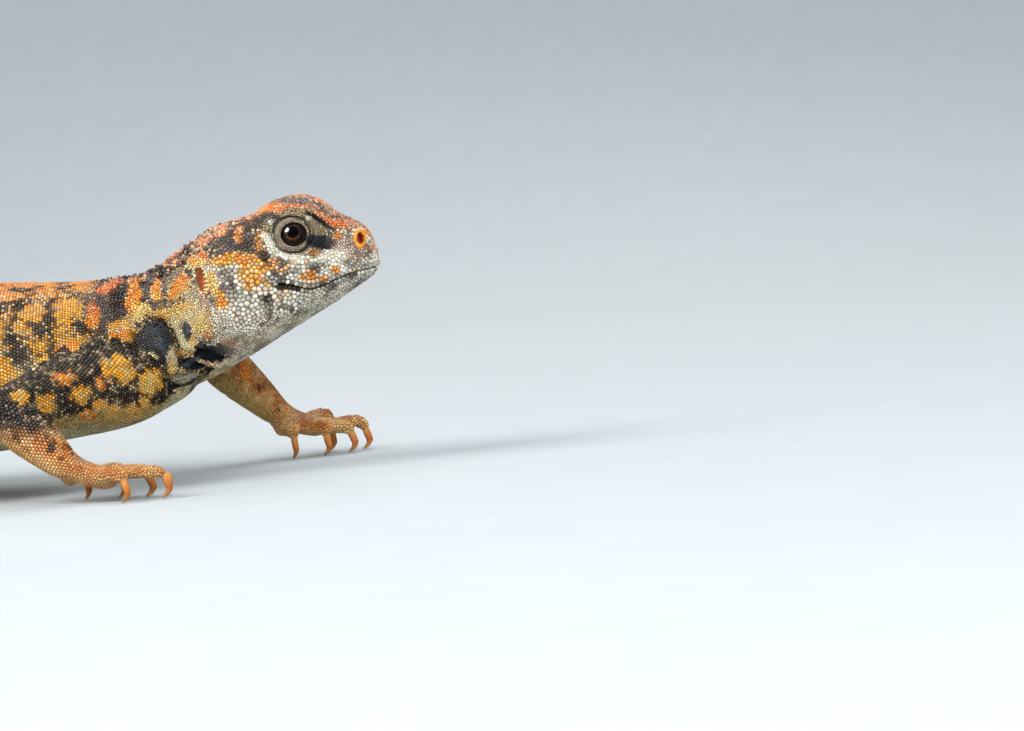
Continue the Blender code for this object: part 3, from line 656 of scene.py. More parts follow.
@dataclass(frozen=True)
class SkinForm:
    """The sizes and folds of the skin, in millimetres."""

    swell: float = 0.45
    voxel: float = 0.78
    coat_depth: float = 0.22
    join_reach: float = 3.8
    join_rounds: int = 16
    floor_gap: float = 0.6
    fine_box: tuple[float, float] = (21.0, 16.0)
    fine_to_x: float = -15.0
    lid_reach: float = 5.7
    lid_opening: tuple[float, float] = (2.66, 2.44)
    lid_margin: float = 2.5
    lids: Line = Line(
        (0, 1), (1.9, 1.5), (2.3, 2.05), (2.46, 2.84), (2.62, 3.12), (2.85, 3.24), (3.2, 3.16), (3.36, 3.06),
        (3.5, 3), (3.64, 2.76), (3.78, 2.2), (3.88, 2.06), (4.04, 2.36), (4.4, 2.62), (4.9, 2.6), (5.4, 2.3),
    )
    lid_blend: tuple[float, float] = (5.6, 4.5)
    nostril: Pit = Pit((34.8, 48.7), (0.72, 1.12), -6, 2.0, 0.62, 0.34)
    ear: Pit = Pit((1.3, 42.6), (1.15, 2.7), 8, 1.1, 0.35, 0.3)
    features: tuple[float, float, float] = (1.2, 2.8, 1.0)
    ear_reach: tuple[float, float] = (2.6, 4.4)
    lips_from: float = 15.0
    fold_shoulder: float = 2.1
    side_turn: Border = (0.25, 0.5)
    corner_wider: float = 0.9
    corner: Border = (20.5, 17.5)
    mouth_from: Border = (15.2, 17.2)
    bulge_place: float = 3.2
    rim_place: float = 1.35
    pit_edge: Border = (1.1, 0.62)
    lip_depth: float = 0.55
    lip_width: float = 0.26
    lip_bulge: float = 0.2
    shoulder_bulges: tuple[Swell, ...] = (
        Swell((-9.0, 16.5, 29.8), (3.6, 8, 4.4), (0, 0.9, 0)),
        Swell((-3.9, 13.0, 22.4), (3.3, 8, 2.5), (0, 1.2, -0.2)),
        Swell((-14.8, 18.0, 34.0), (3.0, 8, 3.2), (0, 0.5, 0)),
    )
    folds: tuple[Fold, ...] = (
        Fold(((1.9, 39.8), (2.2, 38.5), (2.9, 35.5), (3.8, 32.5), (4.4, 31.4)), 0.45, 0.5),
        Fold(((0.6, 39.8), (1.2, 36.8), (1.9, 33.6)), 0.35, 0.32),
        Fold(((3.5, 39.6), (4.2, 36.4), (5.2, 33.4)), 0.3, 0.34),
        Fold(((-3.6, 39.8), (-2.6, 36.2), (-1.4, 33.0)), 0.4, 0.6),
        Fold(((-6.8, 42.6), (-6.6, 39.4), (-7.6, 36.6)), 0.35, 0.7),
        Fold(((-10.6, 36.0), (-7.4, 34.6), (-5.4, 32.2), (-4.9, 29.4), (-5.6, 26.6), (-6.8, 24.6)), 1.1, 0.6),
        Fold(((-5.2, 35), (-4.6, 32.8), (-4, 30.8), (-3.5, 29.3), (-2, 28.3), (1.4, 29.4)), -0.6, 0.55, 0),
        Fold(((-2.7, 33.6), (-2.5, 31.4), (-1.6, 29.6)), 0.6, 0.5),
        Fold(((-6.2, 29.2), (-6.3, 26.4), (-6.7, 23.8)), -0.7, 0.65, 0),
        Fold(((-5.2, 27.6), (-4.4, 25.8), (-2.4, 25.0), (0.2, 24.6)), 1.1, 0.75),
        Fold(((-0.7, 25.8), (1.5, 24.5), (3.8, 24.1), (5.8, 24.6)), -0.5, 0.45, 0),
        Fold(((-14, 32.4), (-12.8, 28.6), (-10.4, 25), (-7.9, 21.9), (-5.6, 19.4), (-3.5, 17.8)), 1.2, 0.75),
        Fold(((-7.6, 24.4), (-7.2, 21.9), (-5.4, 19.9), (-2.6, 19.2), (0.2, 20.4)), 0.8, 0.5),
        Fold(((-2.0, 27.4), (1.6, 27.6), (4.0, 27.0), (6.2, 26.6)), 0.75, 1.0),
        Fold(((0.4, 26.0), (2.6, 25.8), (5.0, 25.4)), 0.5, 0.35),
        Fold(((4.8, 28.4), (6.4, 29.0), (8.2, 30.0)), 0.5, 0.7),
        Fold(((-9.6, 20.2), (-6.6, 20.4), (-3.4, 20.8), (-0.2, 22.2), (1.6, 24.0)), 0.8, 0.5),
        Fold(((16.2, 41.9), (17.6, 42.2), (19.6, 41.6)), 0.22, 0.2),
        Fold(((15.6, 39.9), (16.6, 38.9), (18.4, 38.5)), 0.2, 0.2),
        Fold(((15.4, 38.4), (14.8, 36.8), (14.9, 35.0)), 0.3, 0.5),
        Fold(
            ((13, 55.2), (15.2, 56.3), (17.4, 56.7), (21.1, 56.5), (24.2, 55.5), (26, 54.2), (29.1, 51.9)),
            -0.5, 0.7, 0,
        ),
        Fold(((14.4, 54.6), (17, 55.5), (21, 55.4), (24.4, 54.2), (26.6, 52.7), (28.6, 51)), 0.4, 0.36, 0),
        Fold(
            ((15.8, 51.1), (16.8, 48.6), (19, 46.6), (21.7, 45.6), (23.9, 45), (26.9, 44.9)), -0.4, 0.6, 0.1
        ),
        Fold(((24.9, 49.1), (26.5, 48.8), (29.0, 48.4)), 0.4, 0.9, 0),
        Fold(((-30, 20), (-55, 15), (-85, 13), (-120, 12), (-146, 11)), 0.9, 1.9),
        Fold(((-42, 27), (-70, 22), (-100, 20)), 0.4, 1.6),
    )


class Skin:
    """The animal's skin as one closed surface, with its folds, lids and openings."""

    def __init__(self, form: SkinForm = SkinForm()) -> None:
        """Starts an empty skin.

        Args:
            form: its sizes.
        """
        self.form = form
        self.points = np.empty((0, 3))
        self.triangles = np.empty((0, 3), int)
        self.edges = np.empty((0, 2), int)
        self.normals = np.empty((0, 3))
        self.soft_normals = np.empty((0, 3))
        self.tree: BVHTree | None = None

    def build(self) -> None:
        """Joins trunk and limbs, refines the head and sculpts it."""
        shape = self.joined()
        self.refine(shape)
        bmesh.ops.triangulate(shape, faces=shape.faces)
        mesh = bpy.data.meshes.new("sculpted")
        shape.to_mesh(mesh)
        shape.free()
        self.points, self.edges = mesh_arrays(mesh)
        self.triangles = mesh_triangles(mesh)
        bpy.data.meshes.remove(mesh)
        fine = ease(self.form.fine_to_x - 2, self.form.fine_to_x + 2, self.points[:, 0]) * 0.5
        self.points = relaxed(self.points, self.edges, fine, 3)
        self.normals = vertex_normals(self.points, self.triangles)
        self.sculpt()
        low = self.form.coat_depth * self.form.floor_gap
        self.points[:, 2] = np.maximum(self.points[:, 2], low)
        self.normals = vertex_normals(self.points, self.triangles)
        self.soft_normals = unit(relaxed(self.normals, self.edges, 0.5, 5))
        self.tree = BVHTree.FromPolygons(self.points.tolist(), self.triangles.tolist())
        LOG.info("skin: %d triangles", len(self.triangles))

    def limbs(self) -> tuple[Array, Array]:
        """The legs and feet of the solids, swollen a little so that they fuse with the trunk.

        Returns:
            Their points and their triangles.
        """
        points, triangles, start = [], [], 0
        for part in (Part.FORELEG, Part.HINDLEG, Part.FOREFOOT, Part.HINDFOOT):
            for name in FLESH[part]:
                places, corners = node_mesh(name)
                points.append(places + vertex_normals(places, corners) * self.form.swell)
                triangles.append(corners + start)
                start += len(places)
        return np.concatenate(points), np.concatenate(triangles)

    def joined(self) -> bmesh.types.BMesh:
        """Trunk and limbs fused by a fine grid and smoothed, thinner than the solids by the coat.

        Returns:
            The joined shape.
        """
        form = self.form
        trunk_points, trunk_faces = TRUNK.mesh(form.swell)
        limbs, limb_faces = self.limbs()
        faces = trunk_faces + (limb_faces + len(trunk_points)).tolist()
        fused = remeshed(np.concatenate([trunk_points, limbs]), faces, form.voxel)
        points, edges = mesh_arrays(fused)
        for share in (0.5, -0.52) * 4:
            points = relaxed(points, edges, share, 1)
        trees = (
            BVHTree.FromPolygons(trunk_points.tolist(), trunk_faces),
            BVHTree.FromPolygons(limbs.tolist(), limb_faces.tolist()),
        )
        reach = form.join_reach
        away = [max(tree.find_nearest(p, reach)[3] or reach for tree in trees) for p in points.tolist()]
        seam = ease(reach, reach * 0.3, np.array(away))
        points = relaxed(points, edges, 0.5 * seam, form.join_rounds)
        normals = relaxed(vertex_normals(points, mesh_triangles(fused)), edges, 0.5, 3)
        points -= unit(normals) * (form.swell + form.coat_depth)
        fused.vertices.foreach_set("co", points.ravel())
        fused.update()
        shape = bmesh.new()
        shape.from_mesh(fused)
        bpy.data.meshes.remove(fused)
        return shape

    def refine(self, shape: bmesh.types.BMesh) -> None:
        """Splits the head's faces once, and those of its features once more.

        Args:
            shape: the joined shape, which is changed.
        """
        for chosen in (self.is_head, self.is_feature):
            shape.edges.ensure_lookup_table()
            ends = np.array([(*e.verts[0].co, *e.verts[1].co) for e in shape.edges])
            middle = (ends[:, :3] + ends[:, 3:]) / 2
            edges = [shape.edges[i] for i in np.nonzero(chosen(middle))[0]]
            bmesh.ops.subdivide_edges(shape, edges=edges, cuts=1, use_grid_fill=True)

    def is_head(self, points: Array) -> Array:
        """Whether each place belongs to the head or the neck just behind it."""
        half, low = self.form.fine_box
        return (points[:, 0] > self.form.fine_to_x) & (np.abs(points[:, 1]) < half) & (points[:, 2] > low)

    def is_feature(self, points: Array) -> Array:
        """Whether each place belongs to an eye, a nostril, an ear or the lips.

        Args:
            points: places in millimetres.

        Returns:
            One answer for each place.
        """
        own = mirrored(points)
        form, flat = self.form, own[:, [0, 2]]
        round_lids, round_nostril, round_slit = form.features
        eye = np.linalg.norm(own - EYE_CENTRE, axis=1) < form.lid_reach + round_lids
        nostril = np.linalg.norm(flat - np.array(form.nostril.place), axis=1) < round_nostril
        ear = np.linalg.norm((flat - np.array(form.ear.place)) / form.ear_reach, axis=1) < 1
        lips = (np.abs(flat[:, 1] - MOUTH.at(flat[:, 0])) < round_slit) & (flat[:, 0] > form.lips_from)
        return eye | (nostril & (own[:, 1] > 2.5)) | (ear & (own[:, 1] > 8)) | lips

    def sculpt(self) -> None:
        """Works the bulges, folds, lips, openings and lids into the skin."""
        form, points, normals = self.form, self.points, self.normals
        side = np.where(points[:, 1] < 0, -1.0, 1.0)
        for bulge in form.shoulder_bulges:
            weight = np.exp(-(((mirrored(points) - bulge.centre) / bulge.reach) ** 2).sum(axis=1))
            points += np.stack([weight * 0, side * bulge.push[1] * weight, bulge.push[2] * weight], axis=1)
        flat = points[:, [0, 2]].copy()
        outer = ease(*form.side_turn, np.abs(normals[:, 1]))
        push = np.zeros(len(points))
        for fold in form.folds:
            away = line_distance(flat, fold.path) / fold.width
            groove = -fold.depth * np.exp(-(away**2))
            shoulder = fold.shoulder * abs(fold.depth) * np.exp(-((away - form.fold_shoulder) ** 2))
            push += outer * (groove + shoulder)
        corner = 1 + form.corner_wider * ease(*form.corner, flat[:, 0])
        away = (flat[:, 1] - MOUTH.at(flat[:, 0])) / (form.lip_width * corner)
        slit = -form.lip_depth * np.exp(-(away**2))
        bulging = form.lip_bulge * np.exp(-((away - form.bulge_place) ** 2) / 4)
        push += ease(*form.mouth_from, flat[:, 0]) * (slit + bulging)
        points += normals * push[:, None]
        for pit, facing in product((form.nostril, form.ear), SIDES):
            self.sink(pit, facing)
        for facing in SIDES:
            self.lids(facing)

    def sink(self, pit: Pit, facing: int) -> None:
        """Presses one opening into one side and raises its rim.

        Args:
            pit: the opening.
            facing: the side, -1 for the right and 1 for the left.
        """
        points = self.points
        away = points - np.array([pit.place[0], 0, pit.place[1]])
        own_side = (np.sign(points[:, 1]) == facing) & (np.abs(points[:, 1]) > 1.5)
        near = own_side & (np.hypot(away[:, 0], away[:, 2]) < 8)
        middle = near & (np.hypot(away[:, 0], away[:, 2]) < 1.2)
        normal = unit(self.normals[middle].mean(axis=0))
        lean = math.radians(pit.lean)
        lift = unit(np.array([math.sin(-lean), 0, math.cos(lean)]))
        lift = unit(lift - normal * (lift @ normal))
        across = np.cross(normal, lift)
        offset = points - points[middle].mean(axis=0)
        ring = np.hypot(offset @ across / pit.radii[0], offset @ lift / pit.radii[1])
        rim = pit.rim * np.exp(-(((ring - self.form.rim_place) / pit.rim_width) ** 2))
        hollow = pit.depth * ease(*self.form.pit_edge, ring)
        self.points += np.where(near, rim - hollow, 0)[:, None] * normal

    def eye_frame(self, facing: int) -> tuple[Array, Array, Array]:
        """The directions of one eye's opening.

        Args:
            facing: the side, -1 for the right and 1 for the left.

        Returns:
            The directions out of the opening, forward and up.
        """
        axis = unit(np.array([0.08, facing, 0.07]))
        forward = unit(np.array([1.0, 0, 0]) - axis * axis[0])
        return axis, forward, np.cross(forward, axis) * -facing

    def eye_ring(self, points: Array, facing: int) -> tuple[Array, Array]:
        """Where places lie in one eye's opening.

        Args:
            points: places in millimetres.
            facing: the side, -1 for the right and 1 for the left.

        Returns:
            How far out each lies, in shares of the opening, and how high.
        """
        axis, forward, lift = self.eye_frame(facing)
        offset = points - eye_centre(facing)
        wide, high = self.form.lid_opening
        ring = np.hypot(offset @ forward / wide, offset @ lift / high) * self.form.lid_margin
        return ring, offset @ axis

    def lids(self, facing: int) -> None:
        """Sets the skin round one eye to the height of its lids.

        Args:
            facing: the side, -1 for the right and 1 for the left.
        """
        ring, height = self.eye_ring(self.points, facing)
        near = (height > -1) & (ring < self.form.lid_blend[0]) & (np.sign(self.points[:, 1]) == facing)
        share = np.where(near, ease(*self.form.lid_blend, ring), 0)
        target = self.form.lids.at(ring)
        self.points += (share * (target - height))[:, None] * self.eye_frame(facing)[0]

    def foot_of(self, points: Array, reach: float = 1e9) -> tuple[Array, Array, Array]:
        """The nearest places on the skin.

        Args:
            points: places in millimetres.
            reach: how far to look.

        Returns:
            The places, the smoothed normals there and the distances, which are huge where none was found.
        """
        found, gaps, faces = points.copy(), np.full(len(points), 1e9), np.zeros(len(points), int)
        for i, point in enumerate(points.tolist()):
            place, _, face, gap = self.tree.find_nearest(point, reach)
            if place is not None:
                found[i], faces[i], gaps[i] = place, face, gap
        return found, unit(self.soft_normals[self.triangles[faces]].mean(axis=1)), gaps


def drop_inner(shape: bmesh.types.BMesh) -> None:
    """Removes every surface but the largest.

    Args:
        shape: the shape, which is changed.
    """
    unseen, islands = set(shape.verts), []
    while unseen:
        edge = [unseen.pop()]
        island = list(edge)
        while edge:
            near = {n for v in edge for e in v.link_edges for n in e.verts if n in unseen}
            unseen.difference_update(near)
            island += near
            edge = near
        islands.append(island)
    islands.sort(key=len)
    loose = [vertex for island in islands[:-1] for vertex in island]
    bmesh.ops.delete(shape, geom=loose, context="VERTS")


@dataclass(frozen=True)
class Places:
    """Places on the hide, with what its colours depend on there."""

    points: Array
    normals: Array
    parts: Array
    luck: Array

    @property
    def x(self) -> Array:
        """How far forward each place lies."""
        return self.points[:, 0]

    @property
    def z(self) -> Array:
        """How high each place lies."""
        return self.points[:, 2]

    @property
    def up(self) -> Array:
        """How much the skin faces upwards there, from -1 to 1."""
        return self.normals[:, 2]


@dataclass(frozen=True)
class Mark:
    """A soft-edged patch of colour seen from the side: its place, half-sizes, turn, tint and strength."""

    x: float
    z: float
    rx: float
    rz: float
    turn: float
    tint: Tint
    share: float = 1.0


@dataclass(frozen=True)
class Streak:
    """A band of colour along a path seen from the side."""

    path: tuple[tuple[float, float], ...]
    width: float
    tint: Tint
    share: float = 1.0


@dataclass(frozen=True)
class Ramp:
    """A ground colour that wanders between tints over blotches of one size, with a pattern of its own."""

    seed: int
    size: float
    speckle: float
    stops: tuple[tuple[float, Tint], ...]
    contrast: float = 1.7

    def on(self, at: Places) -> Array:
        """The ground colour, varied by each scale's own chance.

        Args:
            at: places on the hide.

        Returns:
            One linear colour for each place.
        """
        coarse = value_noise(at.points, self.size, self.seed) * 0.65
        coarse += value_noise(at.points, self.size * 0.4, self.seed + 1) * 0.35
        value = np.clip((coarse - 0.5) * self.contrast + 0.5 + (at.luck - 0.5) * self.speckle, 0, 1)
        stops = [stop for stop, _ in self.stops]
        tints = np.array([tint.linear for _, tint in self.stops])
        return np.stack([np.interp(value, stops, tints[:, k]) for k in range(3)], axis=1)


BACK_GROUND = Ramp(
    3, 3.4, 0.8, ((0.08, Tint.SOOT), (0.4, Tint.UMBER), (0.66, Tint.DUSK), (0.95, Tint.KHAKI))
)
BELLY_GROUND = Ramp(5, 6.0, 0.4, ((0.1, Tint.OLIVE), (0.5, Tint.CREAM), (0.9, Tint.CREAM)))
NECK_GROUND = Ramp(
    11, 1.7, 1.1, ((0.12, Tint.SOOT), (0.32, Tint.GREY), (0.48, Tint.CREAM), (0.8, Tint.GOLD))
)
NAPE_GROUND = Ramp(
    12, 2.6, 0.8,
    ((0.25, Tint.SOOT), (0.5, Tint.DUSK), (0.62, Tint.GREY), (0.72, Tint.SALMON), (0.95, Tint.CORAL)),
)
CHEST_GROUND = Ramp(13, 3.4, 0.4, ((0.2, Tint.SLATE), (0.45, Tint.BEIGE), (0.7, Tint.CREAM)))
FACE_GROUND = Ramp(
    21, 1.8, 0.8, ((0.06, Tint.DUSK), (0.2, Tint.GREY), (0.36, Tint.BEIGE), (0.54, Tint.BONE))
)
TEMPLE_GROUND = Ramp(
    22, 2.0, 0.9, ((0.1, Tint.SOOT), (0.45, Tint.DUSK), (0.62, Tint.GREY), (0.75, Tint.TAN))
)
CROWN_GROUND = Ramp(
    23, 1.5, 1.0,
    ((0.14, Tint.DUSK), (0.32, Tint.GREY), (0.45, Tint.ROSE), (0.7, Tint.SALMON), (0.98, Tint.CORAL)),
)
THROAT_GROUND = Ramp(24, 3.0, 0.6, ((0.05, Tint.GREY), (0.4, Tint.BEIGE), (0.9, Tint.BONE)))
TAIL_GROUND = Ramp(
    51, 5.0, 0.6, ((0.1, Tint.UMBER), (0.45, Tint.DUSK), (0.7, Tint.TAN), (0.95, Tint.SAND))
)
ARM_GROUND = Ramp(53, 2.0, 0.7, ((0.3, Tint.SOOT), (0.75, Tint.UMBER), (1.0, Tint.KHAKI)))
THIGH_GROUND = replace(ARM_GROUND, seed=56)
LIMB_GROUND = Ramp(
    55, 2.4, 0.5, ((0.02, Tint.UMBER), (0.22, Tint.AMBER), (0.5, Tint.TAN), (0.85, Tint.SAND))
)
FOOT_GROUND = Ramp(57, 2.4, 0.4, ((0.0, Tint.AMBER), (0.32, Tint.TAN), (0.86, Tint.SAND)))


def marks(*rows: tuple) -> tuple[Mark, ...]:
    """The patches that rows of place, half-sizes, turn, tint and strength describe."""
    return tuple(Mark(*row) for row in rows)


HEAD_MARKS = marks(
    (9, 49.6, 7, 3.6, -8, Tint.DUSK, 0.75), (12, 53.2, 5, 1.6, -16, Tint.UMBER, 0.8),
    (23.5, 57.8, 1.6, 0.9, 0, Tint.GREY, 0.8), (20, 58, 1.5, 0.8, 0, Tint.GREY, 0.7),
    (29, 55.4, 2, 0.8, 40, Tint.ROSE, 0.7), (31.6, 53.4, 1.5, 0.7, 42, Tint.GREY, 0.6),
    (33.4, 51.6, 1.6, 0.8, 35, Tint.ROSE, 0.7), (31.2, 51.8, 1.4, 0.8, 40, Tint.CORAL, 0.7),
    (36.6, 50.6, 1.2, 1.2, 40, Tint.SALMON, 0.6), (21, 54.9, 5, 1.2, 0, Tint.KHAKI, 0.9),
    (21, 50.6, 4.7, 4.5, 0, Tint.KHAKI, 1), (20.8, 50.6, 3.7, 3.6, 0, Tint.TAUPE, 0.85),
    (16.2, 51.9, 1.3, 1.6, 30, Tint.KHAKI, 0.9), (25.9, 51.6, 2.2, 2.2, 30, Tint.KHAKI, 0.95),
    (24.6, 49.2, 1.3, 1, 20, Tint.SLATE, 0.9), (26.7, 48.5, 2.6, 1.35, 10, Tint.SLATE, 1),
    (34.8, 48.7, 1.5, 1.9, 0, Tint.ORANGE, 1), (34.2, 47.6, 1, 1, 0, Tint.ORANGE, 0.9),
    (33.2, 43.5, 4, 0.9, 14, Tint.GREY, 0.6), (32.6, 45.8, 2.2, 1.6, 0, Tint.BEIGE, 0.5),
    (16.2, 54.8, 2, 0.9, 14, Tint.UMBER, 0.9), (17.4, 56.5, 2, 0.9, 12, Tint.CORAL, 1),
    # The soot patch under the front of the brow, first in this row, is a painted shadow.
    (26.3, 53.4, 2.4, 0.55, 42, Tint.SOOT, 0.85), (30.3, 49.5, 1, 0.75, 0, Tint.ORANGE, 1),
    (31.4, 46.8, 3, 1.8, 0, Tint.GREY, 0.5), (29.5, 45.4, 3, 1.4, -10, Tint.IVORY, 0.8),
    (35.6, 45.9, 1.8, 1.3, 0, Tint.DUSK, 0.5), (38.8, 44.6, 1, 1.5, 0, Tint.ORANGE, 0.95),
    (37.4, 44.4, 0.8, 0.9, 0, Tint.BONE, 0.6), (39, 46.4, 0.7, 0.8, 0, Tint.SALMON, 0.8),
    (33, 47, 4.4, 2.6, 20, Tint.ROSE, 0.3), (38.2, 41.4, 0.8, 0.6, 0, Tint.GOLD, 0.8),
    (37.8, 47.2, 1, 1.4, 30, Tint.SALMON, 0.8), (24, 41.5, 2.2, 1.1, -6, Tint.ORANGE, 0.95),
    (28.9, 42.5, 1, 0.9, 35, Tint.ORANGE, 1), (26.6, 40.9, 0.8, 0.7, 0, Tint.ORANGE, 0.8),
    (22.6, 40.6, 1.2, 0.5, 0, Tint.BONE, 0.8), (20.6, 43, 1.6, 0.7, -10, Tint.DUSK, 0.6),
    (17.6, 38, 1.4, 0.9, 0, Tint.GOLD, 0.5), (24.2, 39.6, 1, 0.7, 20, Tint.GREY, 0.6),
    (30, 40.9, 1.2, 0.6, 20, Tint.GREY, 0.5), (33.6, 42, 1, 0.6, 20, Tint.GOLD, 0.45),
    (25.2, 46.5, 1.2, 0.9, 20, Tint.TAN, 0.8), (26.3, 45, 1, 0.8, 0, Tint.IVORY, 0.9),
    (28, 45.6, 1.3, 1, 30, Tint.IVORY, 0.9), (22.4, 44.6, 2.4, 0.9, -8, Tint.IVORY, 0.6),
    (16.2, 46.2, 0.8, 1.2, 20, Tint.IVORY, 0.6), (23, 38.4, 7, 1.8, 18, Tint.BEIGE, 0.35),
    (21.6, 45.1, 1.6, 1, 0, Tint.SAND, 0.6), (19, 45.2, 1.4, 0.8, -20, Tint.DUSK, 0.8),
    (18.7, 43.6, 1.3, 0.6, -10, Tint.ORANGE, 0.8), (16.6, 44.8, 1.2, 0.8, -20, Tint.ORANGE, 0.7),
    (14.3, 50.4, 0.9, 1.3, 10, Tint.TAN, 0.9), (13.9, 48.4, 1, 1.2, 0, Tint.TAN, 0.9),
    (11, 49.4, 1.6, 1.6, 0, Tint.UMBER, 0.8), (14.6, 46.2, 2, 1, -30, Tint.UMBER, 0.9),
    (9.5, 50.6, 1, 0.8, 0, Tint.ORANGE, 0.7), (9.9, 52.4, 1.1, 0.8, -20, Tint.SALMON, 0.9),
    (5.8, 52.2, 1.6, 0.8, -20, Tint.SALMON, 0.9), (2.3, 50.6, 1.6, 0.8, -25, Tint.SALMON, 0.8),
    (13.4, 43.9, 2.6, 1.6, -30, Tint.GOLD, 0.95), (11.2, 46, 2.2, 1.2, -25, Tint.ORANGE, 0.9),
    (12.2, 41.3, 2.2, 1.4, -10, Tint.GOLD, 0.85), (10.6, 41.6, 1, 1, 0, Tint.ORANGE, 0.8),
    (14.2, 42.4, 0.8, 0.7, 0, Tint.BONE, 0.7), (8.9, 44.9, 0.9, 0.7, 0, Tint.BONE, 0.7),
    (15.4, 40.4, 1.3, 0.7, 0, Tint.GOLD, 0.6), (7.4, 46.7, 3.6, 1.2, -8, Tint.GOLD, 0.95),
    (6.2, 46.9, 1.1, 0.8, 0, Tint.ORANGE, 0.9), (9.8, 46.9, 1.2, 0.7, -10, Tint.CORAL, 0.8),
    (10.6, 43.4, 2, 1.6, 0, Tint.YELLOW, 0.7), (7.2, 43.4, 1.9, 1.5, 0, Tint.DUSK, 0.7),
    (7.6, 38.9, 1.6, 1.9, 0, Tint.GREY, 0.75), (3.7, 41.4, 1.1, 3.2, -10, Tint.YELLOW, 0.95),
    (5.5, 37.5, 1.3, 1.2, 0, Tint.ORANGE, 1), (4.6, 39.5, 1, 1, 0, Tint.GOLD, 0.8),
    (0.7, 46.6, 2, 1.2, -10, Tint.YELLOW, 0.85), (1.8, 47.8, 0.9, 0.9, 0, Tint.CORAL, 1),
    (-0.3, 47, 0.7, 0.7, 0, Tint.ORANGE, 0.9), (18.5, 39.2, 1.2, 0.8, 0, Tint.ORANGE, 0.75),
    (14.8, 36.6, 0.9, 1.9, 10, Tint.SOOT, 0.8), (16.4, 41.8, 1.6, 0.8, 0, Tint.GREY, 0.7),
    (27, 39, 2, 0.9, 20, Tint.DUSK, 0.4), (32.5, 40.4, 3, 0.8, 15, Tint.DUSK, 0.35),
    (9.8, 34.6, 4.6, 3.4, -10, Tint.BONE, 0.7), (20, 37.2, 4.6, 1.7, 14, Tint.BONE, 0.6),
)
NECK_MARKS = marks(
    (-5, 43.6, 2.2, 1.1, -20, Tint.GREY, 0.7), (-2.9, 42.3, 1.5, 1.8, 12, Tint.ORANGE, 1),
    (-2.3, 43.2, 0.9, 0.7, 0, Tint.CORAL, 0.9), (-8.7, 41.4, 1, 1.9, 14, Tint.ORANGE, 1),
    (-8.2, 39.8, 1.1, 0.8, 0, Tint.GOLD, 0.9), (-5.1, 40.1, 0.7, 1.2, 8, Tint.ORANGE, 1),
    (-7, 38.1, 2.4, 1, 0, Tint.DUSK, 0.7), (-4.2, 38.7, 1.3, 0.7, 0, Tint.SOOT, 0.6),
    (-1.1, 39.6, 2, 1.5, 0, Tint.BEIGE, 0.6), (-9.9, 43.6, 1.4, 1, -20, Tint.GREY, 0.6),
    (-10.6, 41.2, 0.9, 2.4, 8, Tint.DUSK, 0.7), (-6.7, 41.6, 0.8, 1.8, 6, Tint.GREY, 0.7),
    (-4.9, 33.6, 0.9, 1.2, 0, Tint.KHAKI, 0.6), (1.6, 37, 1.2, 2.6, -8, Tint.PINK, 0.7),
    (-6.1, 35.8, 2.7, 1.5, 0, Tint.YELLOW, 0.8), (-7.6, 35.6, 1.2, 0.8, 0, Tint.GOLD, 0.9),
    (-0.7, 35.3, 3, 2, 0, Tint.CREAM, 0.7), (0.9, 33.3, 2, 1.8, 0, Tint.YELLOW, 0.85),
    (1.9, 31.2, 1.1, 0.8, 0, Tint.ORANGE, 0.5),
)
